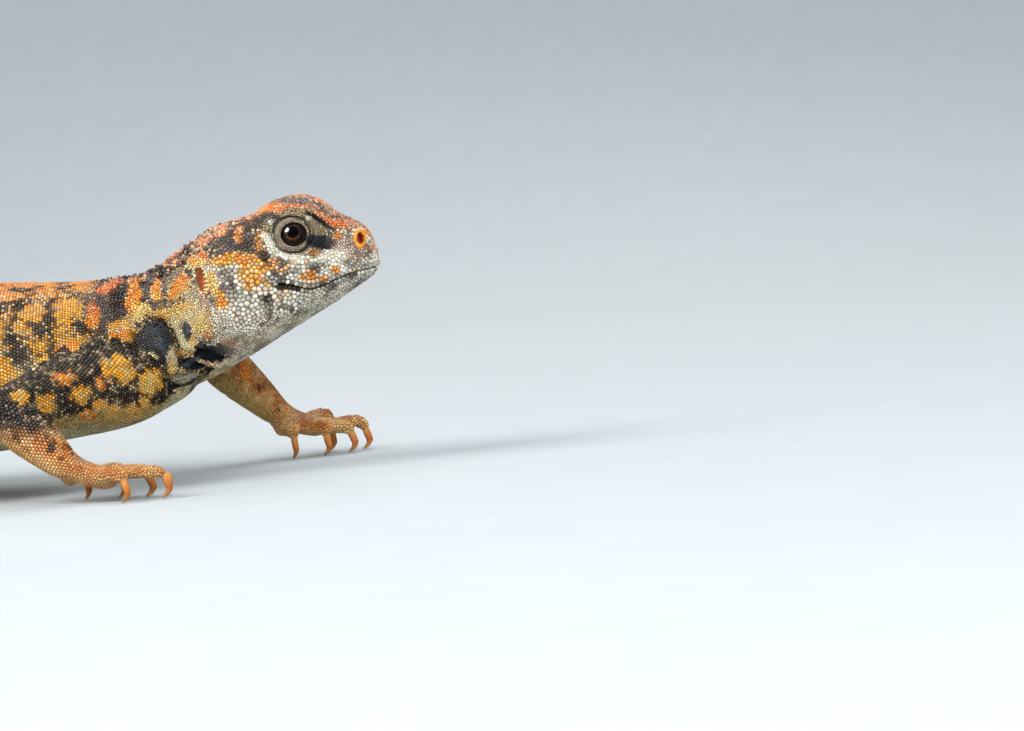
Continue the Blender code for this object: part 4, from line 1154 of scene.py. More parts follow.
SHOULDER_MARKS = marks(
    (-18.5, 40.4, 4.6, 3.4, 0, Tint.DUSK, 0.75), (-18.7, 42.4, 2.3, 0.9, -6, Tint.CORAL, 0.95),
    (-14.2, 43.6, 1, 1, 0, Tint.SALMON, 0.8), (-16.9, 40.2, 1.7, 3.2, 0, Tint.SOOT, 0.85),
    (-13.4, 40.2, 1.6, 3, 6, Tint.ORANGE, 0.9), (-11.7, 37.2, 1.9, 1.7, 0, Tint.YELLOW, 0.85),
    (-12.6, 38.6, 1, 1, 0, Tint.GOLD, 0.9), (-21.7, 37.6, 1.2, 1.9, 0, Tint.CORAL, 0.85),
    (-22, 35.8, 1.3, 1.6, 0, Tint.ORANGE, 0.9), (-19.3, 35.4, 1, 2.6, 0, Tint.DUSK, 0.8),
    (-16.2, 33.2, 3, 2.6, -4, Tint.GOLD, 1), (-16.4, 32.6, 2, 1.6, 0, Tint.ORANGE, 0.9),
    (-16.4, 33.8, 2, 0.4, -4, Tint.BONE, 0.5), (-11.4, 26.4, 2.3, 4, 26, Tint.SOOT, 1),
    (-9.4, 22, 2, 3.4, 0, Tint.SOOT, 1), (-9.4, 31.7, 3.9, 4.3, 0, Tint.INK, 1),
    # On the dark oval the slate patch and the steel streaks are partly the scales' own blue-grey and partly
    # painted sheen.
    (-7.9, 27.7, 2, 3.1, -12, Tint.INK, 1), (-9.2, 31, 2.9, 3.4, -10, Tint.SLATE, 0.8),
    (-7.9, 29.4, 0.8, 2.6, -14, Tint.STEEL_SHEEN, 0.55), (-9, 32.9, 1.2, 0.9, 30, Tint.STEEL_SHEEN, 0.45),
    (-8.6, 30.9, 0.7, 1.3, 20, Tint.GREY, 0.5), (-11, 28.2, 1.9, 0.9, 24, Tint.CREAM, 0.95),
    (-2.8, 25.4, 3.8, 1.9, 8, Tint.INK, 1), (1.4, 27.2, 4.1, 2, 16, Tint.INK, 1),
    (4.6, 27.6, 2.4, 1.3, 20, Tint.DUSK, 0.8), (6.6, 29, 2, 1.3, 20, Tint.PINK, 0.5),
    # The steel streak here is painted sheen on the dark patch.
    (-2.6, 25.7, 2.2, 0.5, -20, Tint.STEEL_SHEEN, 0.6), (1.2, 28.4, 2.4, 0.35, 12, Tint.SLATE, 0.8),
    (-1.6, 29.8, 1, 0.7, 0, Tint.YELLOW, 0.8), (-2.7, 32, 0.9, 1.7, 0, Tint.SLATE, 0.95),
    # The steel streak here is painted sheen on the slate patch.
    (-2.6, 32, 0.4, 1, 0, Tint.STEEL_SHEEN, 0.8), (-6.3, 26.3, 1, 2.4, 0, Tint.CREAM, 1),
    (-6.6, 24.4, 1, 1.1, 0, Tint.YELLOW, 0.9), (-4.1, 22.1, 3.4, 1.3, -5, Tint.BEIGE, 1),
    (-4.3, 23.2, 3.4, 0.4, -5, Tint.SLATE, 0.6), (-4, 22, 3, 0.25, -5, Tint.SLATE, 0.4),
    (-27, 31, 2.6, 1.6, 10, Tint.ORANGE, 0.9), (-31.5, 25.5, 2, 1.6, 0, Tint.GOLD, 0.9),
)
ARM_MARKS = marks(
    (-17, 26.4, 2.3, 2.2, 20, Tint.GOLD, 1), (-15.2, 24.2, 1.9, 1.6, 0, Tint.GOLD, 0.95),
    (-14.8, 25, 0.8, 0.7, 0, Tint.YELLOW, 0.8), (-11, 22.3, 2.4, 2.5, 10, Tint.GOLD, 0.9),
    (-11.2, 21.6, 0.9, 1.8, 10, Tint.YELLOW, 0.8), (-20.3, 22.9, 0.9, 1.4, 0, Tint.ORANGE, 0.9),
    (-20.8, 18.8, 1.5, 1.3, 0, Tint.GOLD, 0.95), (-18.2, 17, 1.8, 1.3, 0, Tint.GOLD, 0.95),
    (-15, 17, 1.6, 1.1, 0, Tint.GOLD, 0.9), (-12.4, 18.4, 1.2, 1.5, 0, Tint.GOLD, 0.8),
    (-24, 21.4, 1.8, 1.6, 0, Tint.GOLD, 0.95), (-23.4, 17, 1.3, 1.1, 0, Tint.ORANGE, 0.9),
    (-26.6, 25, 1.9, 1.2, 20, Tint.ORANGE, 0.9), (-30.4, 20.6, 1.7, 1.4, 0, Tint.GOLD, 0.9),
    (-35, 22.6, 1.6, 1.2, 0, Tint.GOLD, 0.85), (-15.6, 14.6, 4.2, 0.7, -8, Tint.OLIVE, 0.8),
)
STREAKS = (
    Streak(
        (
            (14.9, 56.4), (17, 56.8), (19.8, 56.4), (22.1, 55.9), (23.8, 55.4), (25.5, 54.7), (27.2, 53.6),
            (29.6, 51.6),
        ),
        0.75, Tint.CORAL, 0.9,
    ),
    Streak(((14.4, 56.0), (16.4, 56.6), (18.4, 56.7)), 0.6, Tint.ORANGE, 0.9),
    Streak(
        ((16.4, 58), (19.4, 58.2), (22.6, 57.9), (25.6, 56.9), (28.4, 55), (31, 52.4)), 0.24, Tint.GREY, 0.8
    ),
    Streak(((17.4, 57.6), (19.6, 57.6), (22.4, 57.2), (25.2, 56.2), (27.6, 54.7)), 0.2, Tint.DUSK, 0.7),
    Streak(((18.4, 58.7), (21.4, 58.9), (25.0, 58.2), (28.2, 56.6), (31.0, 54.2)), 0.3, Tint.SALMON, 0.8),
    Streak(((23.8, 48.9), (26.0, 48.4), (28.6, 47.9)), 1.25, Tint.SLATE),
    Streak(((28.0, 47.2), (27.8, 46.2), (28.4, 45.2)), 0.3, Tint.SLATE, 0.8),
    Streak(((26.6, 42.4), (28.6, 41.1), (31.0, 41.9), (34.6, 42.8), (38.4, 43.3)), 0.8, Tint.BONE, 0.85),
    Streak(((1.9, 39.8), (2.2, 38.5), (2.9, 35.5), (3.4, 33.5)), 0.4, Tint.PINK, 0.6),
    Streak(((-13.6, 31.0), (-11.6, 27.0), (-9.2, 23.8), (-8.9, 21.1), (-10.1, 18.1)), 2.0, Tint.SOOT, 0.95),
    Streak(((-10.0, 20.4), (-5.0, 20.4), (-0.5, 22.6), (1.6, 24.0)), 1.0, Tint.SOOT, 0.95),
)
# Narrow bands that lie over the patches; some are painted shade in creases: under the brow, round the lids
# and at the mouth's corner
LINES = (
    Streak(
        ((15.2, 50.8), (15.9, 49.4), (16.8, 48.1), (18.6, 46.7), (20.5, 45.7), (22.6, 45.2)), 0.75, Tint.IVORY
    ),
    # Painted shade in the crease of the lids, a dark ring round the eye.
    Streak(
        (
            (16.9, 51.4), (17.2, 52.9), (18.3, 54.0), (19.9, 54.5), (22.0, 54.2), (23.5, 53.4), (24.4, 52.1),
            (24.7, 50.8), (24.4, 49.3), (23.6, 47.8), (22.1, 46.9), (20.1, 46.8), (18.4, 47.4), (17.2, 48.5),
        ),
        0.26, Tint.SOOT, 0.8,
    ),
    # Painted shadow under the brow ridge.
    Streak(((24.3, 54.7), (25.9, 54.1), (27.6, 52.7), (28.8, 51.5), (29.3, 50.9)), 0.34, Tint.SOOT, 0.85),
    Streak(((24.0, 49.4), (25.1, 48.6), (26.5, 47.9), (28.2, 47.2)), 0.4, Tint.SOOT, 0.5),
    # Painted shade in the slit of the mouth at its corner.
    Streak(((16.7, 39.9), (18.1, 40.1), (19.6, 39.6), (20.9, 39.2)), 0.42, Tint.SOOT, 0.95),
    Streak(((14.4, 47.2), (14.9, 45.9), (15.6, 44.9)), 0.6, Tint.UMBER, 0.85),
    Streak(((15.7, 43.1), (17.4, 42.5), (18.9, 41.7), (20.1, 40.6)), 0.26, Tint.SOOT, 0.7),
    Streak(((-5.2, 35.0), (-4.6, 32.8), (-4.0, 30.8), (-3.5, 29.3), (-2.0, 28.3)), 0.75, Tint.CREAM),
    Streak(((-0.7, 25.7), (1.5, 24.5), (3.8, 24.1), (5.8, 24.6)), 0.42, Tint.CREAM, 0.9),
    Streak(((-10.7, 18.1), (-7.5, 19.0), (-3.5, 20.1), (0.6, 22.1), (3.0, 23.5)), 0.7, Tint.CREAM, 0.9),
    Streak(((-9.6, 20.2), (-6.6, 20.6), (-3.4, 21.0), (-0.2, 22.4), (1.6, 24.0)), 0.35, Tint.SOOT, 0.9),
)


def over(ground: Array, top: "Array | Tint", share: Array) -> Array:
    """One colour laid over another.

    Args:
        ground: the colours so far.
        top: a colour for all places or for each.
        share: how much of it shows at each place, from 0 to 1.

    Returns:
        The new colours.
    """
    colour = top.linear if isinstance(top, Tint) else top
    return ground + (colour - ground) * np.clip(share, 0, 1)[:, None]


def banded(ground: Array, flat: Array, rough: Array, where: Array, streaks: tuple[Streak, ...]) -> Array:
    """The ground with bands of colour on it.

    Args:
        ground: the colours so far.
        flat: the places seen from the side.
        rough: how far the edges stray at each place.
        where: how much each place is open to marks.
        streaks: the bands, each over those before it.

    Returns:
        The new colours.
    """
    for streak in streaks:
        away = line_distance(flat, streak.path) / streak.width
        share = ease(1.25, 0.8, away + rough * 0.6) * streak.share
        ground = over(ground, streak.tint, share * where)
    return ground


def patched(ground: Array, flat: Array, rough: Array, where: Array, patches: tuple[Mark, ...]) -> Array:
    """The ground with patches of colour on it.

    Args:
        ground: the colours so far.
        flat: the places seen from the side.
        rough: how far the edges stray at each place.
        where: how much each place is open to marks.
        patches: the patches, each over those before it.

    Returns:
        The new colours.
    """
    for mark in patches:
        turn = math.radians(mark.turn)
        off = flat - (mark.x, mark.z)
        along = off[:, 0] * math.cos(turn) - off[:, 1] * math.sin(turn)
        across = off[:, 0] * math.sin(turn) + off[:, 1] * math.cos(turn)
        ring = np.hypot(along / mark.rx, across / mark.rz)
        share = ease(1.25, 0.75, ring + rough) * mark.share
        ground = over(ground, mark.tint, share * where)
    return ground


def toned(ground: Array, at: Places, where: Array) -> Array:
    """The ground with a tone of its own for every scale, from cream to orange in the warm patches.

    Args:
        ground: the colours so far.
        at: places on the hide.
        where: how much each place is open to marks.

    Returns:
        The new colours.
    """
    warm = ease(0.12, 0.3, ground[:, 0] - ground[:, 2]) * where
    ground = over(ground, Tint.CREAM, warm * ease(0.55, 1.0, at.luck) * 0.55)
    ground = over(ground, Tint.ORANGE, warm * ease(0.3, 0.0, at.luck) * 0.5)
    return ground * (0.8 + 0.4 * ((at.luck * 7.3) % 1.0))[:, None]


@dataclass(frozen=True)
class Markings:
    """The animal's colours as a function of place, shared by skin and coat.

    A pair of numbers is a soft border: where it starts and where it is complete, in millimetres in the
    animal's own frame or, where its name ends in turn, as a part of the skin's direction.
    """

    spot_gap: float = 8.6
    spot_round: float = 0.66
    spots_from: Border = (-19, -25)
    spots_to: Border = (-196, -176)
    belly_turn: Border = (-0.45, -0.85)
    side_turn: Border = (0.12, 0.4)
    nape_turn: Border = (0.35, 0.75)
    nape_height: Border = (30, 36)
    chest_height: Border = (27, 19)
    chest_from: Border = (-22, -14)
    chest_to: Border = (9, 5)
    front_from: Border = (-26, -20)
    neck_from: Border = (-17, -12)
    head_from: Border = (-1.5, 2.5)
    head_height: float = 26.0
    temple_to: Border = (16, 13)
    temple_height: Border = (44, 47)
    snout_from: Border = (33, 36)
    tail_from: Border = (-172, -182)
    tail_rings: tuple[float, float] = (-176.5, 21.0)
    upper_arm_to: Border = (17, 12)
    thigh_to: Border = (20, 32)
    elbow_patch: tuple[float, float, float, float] = (4.9, 20.6, 1.1, 2.6)

    def colours(self, at: Places) -> Array:
        """The hide's colour, ground by ground and then mark by mark.

        Args:
            at: places on the hide.

        Returns:
            One linear colour for each place.
        """
        wander = (value_noise(at.points, 3.0, 9) - 0.5) * 2.4
        found = self.front(self.body(at), at, wander)
        crown = ease(-0.4, 0.5, at.z - BROW.at(at.x) + wander * 0.2) * ease(-4, 3, at.x)
        found = self.head(found, at, wander, crown)
        outer = ease(*self.side_turn, np.abs(at.normals[:, 1]))
        outer = np.maximum(outer, ease(0.2, 0.5, at.normals[:, 0]) * ease(*self.snout_from, at.x))
        trunk = np.isin(at.parts, [Part.HEAD, Part.NECK, Part.TORSO])
        found = self.marked(found, at, trunk * np.maximum(outer, crown))
        return self.limbs(self.tail(found, at), at)

    def body(self, at: Places) -> Array:
        """The spotted back, the pale freckles and the belly.

        Args:
            at: places on the hide.

        Returns:
            One linear colour for each place.
        """
        found = self.spots(BACK_GROUND.on(at), at)
        below = ease(*self.belly_turn, at.up) * (at.parts <= Part.TAIL)
        found = over(found, BELLY_GROUND.on(at), below)
        freckles = ease(0.84, 0.94, at.luck) * (at.parts <= Part.TORSO) * 0.5
        return over(found, Tint.TAN, freckles * (1 - below))

    def spots(self, ground: Array, at: Places) -> Array:
        """Cross bands of round yellow and orange spots over the back, flanks and base of the tail.

        Args:
            ground: the colours so far.
            at: places on the hide.

        Returns:
            The new colours.
        """
        x, y, z = at.points.T
        luck = at.luck - 0.5
        round_back = np.arctan2(y - TRUNK.sway.at(x), z - TRUNK.widest.at(x)) * TRUNK.half_width.at(x)
        warp = (value_noise(at.points, 9, 41) - 0.5) * 8
        band = (x + 24 + warp) / self.spot_gap
        row = np.round(band)
        step = (round_back + warp * 0.8) / (self.spot_gap * 0.8) + (row % 2) * 0.5
        ring = np.hypot(band - row, (step - np.round(step)) * 0.85)
        ring = ring + (value_noise(at.points, 2.6, 42) - 0.5) * 0.6
        share = ease(self.spot_round * 0.6, self.spot_round * 0.4, ring + luck * 0.4)
        share *= 1 - 0.5 * ease(0.55, 0.8, value_noise(at.points, 1.4, 44) + luck * 0.5)
        warm = value_noise(at.points, 14, 43)[:, None]
        up = ease(10, 24, z - TRUNK.widest.at(x))[:, None]
        upper = Tint.SALMON.linear * warm + Tint.ORANGE.linear * (1 - warm)
        tint = Tint.GOLD.linear * (1 - up) + upper * up
        behind = ease(*self.spots_from, x) * ease(*self.spots_to, x)
        back = ease(0.5, 0.9, up[:, 0]) * ease(0.5, 0.75, value_noise(at.points, 2.4, 45) + luck * 0.6)
        ground = over(ground, Tint.SALMON, back * behind * 0.6)
        return over(ground, tint, share * behind * 0.95)

    def front(self, ground: Array, at: Places, wander: Array) -> Array:
        """The nape, the neck and the chest.

        Args:
            ground: the colours so far.
            at: places on the hide.
            wander: how far the borders stray at each place.

        Returns:
            The new colours.
        """
        trunk = at.parts <= Part.TORSO
        chest = ease(*self.chest_height, at.z + wander) * ease(*self.chest_from, at.x)
        chest = chest * ease(*self.chest_to, at.x)
        front = ease(*self.front_from, at.x + wander) * trunk
        neck = ease(*self.neck_from, at.x + wander) * trunk
        nape = ease(*self.nape_turn, at.up) * ease(*self.nape_height, at.z)
        found = over(ground, NAPE_GROUND.on(at), front * nape * 0.8)
        found = over(found, NECK_GROUND.on(at), neck * (1 - nape))
        return over(found, CHEST_GROUND.on(at), chest * trunk)

    def head(self, ground: Array, at: Places, wander: Array, crown: Array) -> Array:
        """The face, temple, crown and throat.

        Args:
            ground: the colours so far.
            at: places on the hide.
            wander: how far the borders stray at each place.
            crown: how much each place belongs to the top of the head.

        Returns:
            The new colours.
        """
        head = ease(*self.head_from, at.x + wander * 0.6)
        found = over(ground, FACE_GROUND.on(at), head * (at.z > self.head_height))
        temple = head * ease(*self.temple_to, at.x) * ease(*self.temple_height, at.z)
        found = over(found, TEMPLE_GROUND.on(at), temple)
        found = over(found, CROWN_GROUND.on(at), crown)
        throat = ease(0.6, -0.9, at.z - JAW.at(at.x) + wander * 0.25) * ease(1, 4, at.x)
        return over(found, THROAT_GROUND.on(at), throat)

    def marked(self, ground: Array, at: Places, where: Array) -> Array:
        """The ground with the side's patches and bands on it, their edges broken up scale by scale.

        Args:
            ground: the colours so far.
            at: places on the hide.
            where: how much each place is open to marks.

        Returns:
            The new colours.
        """
        flat = at.points[:, [0, 2]]
        rough = (value_noise(at.points, 1.5, 31) - 0.5) * 0.6 + (at.luck - 0.5) * 0.3
        found = banded(ground, flat, rough, where, STREAKS)
        found = patched(found, flat, rough, where, (*HEAD_MARKS, *NECK_MARKS, *SHOULDER_MARKS))
        return toned(banded(found, flat, rough * 0.5, where, LINES), at, where)

    def tail(self, ground: Array, at: Places) -> Array:
        """The tail with its rings and pale underside.

        Args:
            ground: the colours so far.
            at: places on the hide.

        Returns:
            The new colours.
        """
        first, length = self.tail_rings
        rings = 0.5 + 0.5 * np.cos((at.x - first) * 2 * math.pi / length)
        found = over(TAIL_GROUND.on(at), Tint.AMBER, rings * 0.45)
        found = over(found, Tint.CREAM, ease(-0.2, -0.7, at.up) * 0.8)
        return over(ground, found, (at.parts == Part.TAIL) * ease(*self.tail_from, at.x))

    def limbs(self, ground: Array, at: Places) -> Array:
        """The legs and feet.

        Args:
            ground: the colours so far.
            at: places on the hide.

        Returns:
            The new colours.
        """
        warp = (value_noise(at.points, 4, 52) - 0.5) * 2
        limb = over(LIMB_GROUND.on(at), Tint.SAND, ease(0.0, -0.6, at.up) * 0.6)
        y = at.points[:, 1]
        arm = over(self.near_arm(at), limb, ease(*self.upper_arm_to, at.z + warp))
        foreleg = at.parts == Part.FORELEG
        found = over(ground, arm, foreleg & (y < 0))
        found = over(found, self.far_arm(limb, at), foreleg & (y >= 0))
        shank = ease(*self.thigh_to, np.abs(y) + warp)
        shank = np.maximum(shank, ease(13, 9, at.z) * ease(24, 34, np.abs(y)))
        found = over(found, over(self.thigh(at), limb, shank), at.parts == Part.HINDLEG)
        return over(found, self.foot(at), at.parts >= Part.FOREFOOT)

    def near_arm(self, at: Places) -> Array:
        """The right upper arm, dark with golden patches.

        Args:
            at: places on the hide.

        Returns:
            One linear colour for each place.
        """
        arm = over(ARM_GROUND.on(at), Tint.OLIVE, ease(-0.45, -0.8, at.up) * 0.8)
        arm = over(arm, Tint.KHAKI, ease(0.8, 0.9, at.luck) * 0.5)
        rough = (value_noise(at.points, 1.5, 31) - 0.5) * 0.9 + (at.luck - 0.5) * 0.7
        whole = np.ones(len(at.points))
        return toned(patched(arm, at.points[:, [0, 2]], rough, whole, ARM_MARKS), at, whole)

    def far_arm(self, limb: Array, at: Places) -> Array:
        """The left arm: a sandy front, a duller inner face and one orange patch.

        Args:
            limb: the ground colour of the legs.
            at: places on the hide.

        Returns:
            One linear colour for each place.
        """
        x, z, wide, high = self.elbow_patch
        ring = np.hypot((at.x - x) / wide, (at.z - z) / high)
        patch = ease(1.2, 0.7, ring + (at.luck - 0.5) * 0.4)
        dusky = ease(0.2, 0.75, at.up + at.normals[:, 0] * 0.3) * 0.35
        inner = ease(0.1, -0.5, at.normals[:, 0] + at.up * 0.6)
        found = over(over(limb, Tint.UMBER, dusky), Tint.OLIVE.linear * 0.85, inner * 0.6)
        return over(found, Tint.ORANGE, patch * 0.95)

    def thigh(self, at: Places) -> Array:
        """The dark thigh with golden spots and a pale underside.

        Args:
            at: places on the hide.

        Returns:
            One linear colour for each place.
        """
        spots = ease(0.56, 0.68, value_noise(at.points, 4.2, 54) + (at.luck - 0.5) * 0.1)
        found = over(THIGH_GROUND.on(at), Tint.GOLD, spots * 0.9)
        return over(found, Tint.CREAM, ease(-0.1, -0.6, at.up) * 0.8)

    def foot(self, at: Places) -> Array:
        """The sandy feet, darker on top.

        Args:
            at: places on the hide.

        Returns:
            One linear colour for each place.
        """
        found = over(FOOT_GROUND.on(at), Tint.SAND, ease(0.3, -0.5, at.up) * 0.5)
        top = ease(0.4, 0.9, at.up)
        found = over(found, Tint.UMBER, top * ease(0.4, 0.9, at.luck) * 0.3)
        return over(found, Tint.PINK.linear * 0.7, top * ease(6.5, 9.0, at.z) * 0.6)

    def gaps(self, at: Places, colours: Array) -> Array:
        """The darker colour between scales, partly their darker skin and partly painted shade between them:
        golden on the cheek, paler by the eye, softer on the limbs.

        Args:
            at: places on the hide.
            colours: the hide's colours there.

        Returns:
            One linear colour for each place.
        """
        # Painted shade: the gap colour is much darker than the scales, partly the darker skin between them
        # and partly the shade that falls there.
        ground = colours * 0.22 + Tint.SOOT.linear * 0.5
        golden = ease(22, 15, at.x) * ease(-2, 3, at.x) * ease(48, 44, at.z) * (at.parts == Part.HEAD)
        golden = golden * ease(0.2, 0.5, value_noise(at.points, 3.4, 61))
        golden = golden * ease(0.06, 0.2, colours.mean(axis=1))
        ground = over(ground, Tint.AMBER.linear * 0.55, golden * 0.9)
        pale = ease(0.22, 0.45, colours.min(axis=1)) * ease(14, 15, at.x) * ease(40, 42, at.z)
        ground = over(ground, colours * 0.62, pale * 0.9)
        limbs = (at.parts >= Part.FORELEG) * 0.8
        return over(ground, colours * 0.42 + Tint.UMBER.linear * 0.2, limbs)


class Regions:
    """Which CAD node, and so which part of the animal, each place on the skin belongs to."""

    def __init__(self) -> None:
        """Gathers the solids' faces under the numbers of their nodes."""
        self.names = [name for names in FLESH.values() for name in names]
        self.part_of = np.array([part for part, names in FLESH.items() for _ in names])
        self.meshes = [node_mesh(name)[0] for name in self.names]
        places, labels = [], []
        for number, name in enumerate(self.names):
            points, triangles = node_mesh(name)
            middles = points[triangles].mean(axis=1)
            places += [points, middles]
            labels += [number] * (len(points) + len(middles))
        every = np.concatenate(places)
        self.labels = np.array(labels)
        self.tree = KDTree(len(every))
        for i, place in enumerate(every.tolist()):
            self.tree.insert(place, i)
        self.tree.balance()
        self.axes = np.array([self.axis(number) for number in range(len(self.names))])
        self.middles = np.array([points.mean(axis=0) for points in self.meshes])

    def axis(self, number: int) -> Array:
        """The direction in which the scales of a node lie, towards the tail or the toes.

        Args:
            number: the node's number.

        Returns:
            A unit vector.
        """
        name, points = self.names[number], self.meshes[number]
        middle = points.mean(axis=0)
        if "foot" in name:
            ankle = points[points[:, 2] > points[:, 2].max() - 1.5].mean(axis=0)
            return unit((middle - ankle) * np.array([1, 1, 0]))
        if "leg" not in name:
            return np.array([-1.0, 0, 0])
        along = np.linalg.svd(points - middle, full_matrices=False)[2][0]
        upper = name.endswith(("upper", "thigh"))
        outward = along[1] * middle[1] > 0 if upper else along[2] < 0
        return along if outward else -along

    def of(self, points: Array) -> Array:
        """The number of the node nearest to each place."""
        return self.labels[[self.tree.find(place)[1] for place in points.tolist()]]


@dataclass(frozen=True)
class ScaleShape:
    """How one scale rises: its corners, its rings from the rim inwards as (share, height), and its apex."""

    sides: int
    rings: tuple[tuple[float, float], ...]
    apex: float = 1.0

    @property
    def triangle_count(self) -> int:
        """The triangles of one scale."""
        return self.sides * (2 * len(self.rings) - 1)


GRANULE = ScaleShape(6, ((1.0, -0.5), (0.76, 0.62)))
BEAD = ScaleShape(9, ((1.0, -0.6), (0.88, 0.3), (0.6, 0.84)))


@dataclass
class Seeds:
    """The places where scales grow."""

    points: Array
    pitch: Array
    free: Array


@dataclass(frozen=True)
class CoatPlan:
    """The sizes of the scales over the body, in millimetres, and how they rise, in shares of a size."""

    head_spots: tuple[tuple[float, float, float], ...] = (
        (21, 55, 0.6), (26, 51.5, 0.5), (26.5, 48.8, 0.5), (30, 47.5, 0.66), (33, 45.5, 0.7),
        (36, 45.5, 0.74), (34.8, 48.7, 0.6), (38, 44, 0.85), (29, 43.5, 0.92), (24, 43, 1.05),
        (20, 44, 1.05), (17, 46, 0.95), (13, 49, 0.8), (9, 50, 0.78), (6, 46.5, 1.0), (11, 43.5, 1.1),
        (8, 38, 1.1), (14, 38, 1.18), (20, 37, 1.15), (26, 38.3, 0.98), (32, 40.3, 0.85), (10, 34.5, 1.12),
        (4, 40, 0.75), (2, 44, 0.62), (0, 46.5, 0.68), (1, 37, 0.56), (4.5, 33, 0.64), (8, 29, 0.56),
        (16, 31.5, 0.56), (24, 34.5, 0.56), (32, 39, 0.62), (22, 58, 0.95), (14, 56, 0.9), (30, 55, 0.95),
        (35, 51.5, 0.9), (5, 53, 0.85), (-2, 50, 0.8), (17, 54.6, 0.66),
    )
    head_share: float = 0.92
    lid_pitch: float = 0.38
    lid_rings: tuple[float, ...] = (2.82, 3.18, 3.52, 4.2, 4.62)
    lid_clear: float = 2.62
    along_trunk: Line = Line(
        (-326, 1.0), (-200, 1.15), (-174, 1.1), (-75, 1.0), (-45, 0.82), (-28, 0.66), (-18, 0.54), (-2, 0.5)
    )
    scatter: float = 0.22
    belly_more: float = 0.25
    nape_more: float = 0.2
    leg: float = 0.98
    arm: float = 0.74
    inner_arm: float = 0.6
    foot: float = 0.64
    lip_step: float = 0.98
    lip_rows: tuple[float, ...] = (0.62, -0.62, 1.5, -1.5)
    lip_from: float = 17.6
    slit: float = 0.2
    slit_from: float = 16.8
    lattice_to_x: float = -25.0
    row_share: float = 0.88
    least_gap: float = 0.74
    darts: float = 6.0
    rowed_darts: float = 0.4
    rise: float = 0.27
    head_rise: float = 0.24
    bead_rise: float = 0.16
    ridge_rise: float = 0.34
    nape_rise: float = 0.7
    front_rise: float = 0.34
    limb_rise: float = 0.34
    flat_belly: float = 0.5
    lean: float = 0.25
    head_lean: float = 0.1
    limb_lean: float = 0.75
    tail_lean: float = 0.6

    def pitch(self, points: Array, normals: Array, parts: Array) -> Array:
        """The distance between scales.

        Args:
            points: places in millimetres.
            normals: the skin's directions there.
            parts: the Part at each place.

        Returns:
            One distance for each place.
        """
        x = points[:, 0]
        trunk = self.along_trunk.at(x) + self.belly_more * ease(-0.3, -0.8, normals[:, 2]) * (x < -30)
        trunk = trunk + self.nape_more * ease(0.3, 0.8, normals[:, 2]) * ease(-26, -14, x)
        total, weights = np.zeros(len(x)), np.zeros(len(x))
        for spot_x, spot_z, size in self.head_spots:
            weight = 1 / (0.3 + (x - spot_x) ** 2 + (points[:, 2] - spot_z) ** 2) ** 2
            total += weight * size
            weights += weight
        lid = ease(5.6, 4.6, np.linalg.norm(mirrored(points) - EYE_CENTRE, axis=1))
        head = total / weights * (1 - lid) + self.lid_pitch * lid
        share = ease(-4, 1, x)
        found = trunk * (1 - share) + head * self.head_share * share
        found = np.where(parts == Part.HINDLEG, self.leg, found)
        found = np.where(parts == Part.FORELEG, self.arm, found)
        found = np.where((parts == Part.FORELEG) & (points[:, 1] > 0), self.inner_arm, found)
        return np.where(parts >= Part.FOREFOOT, self.foot, found)


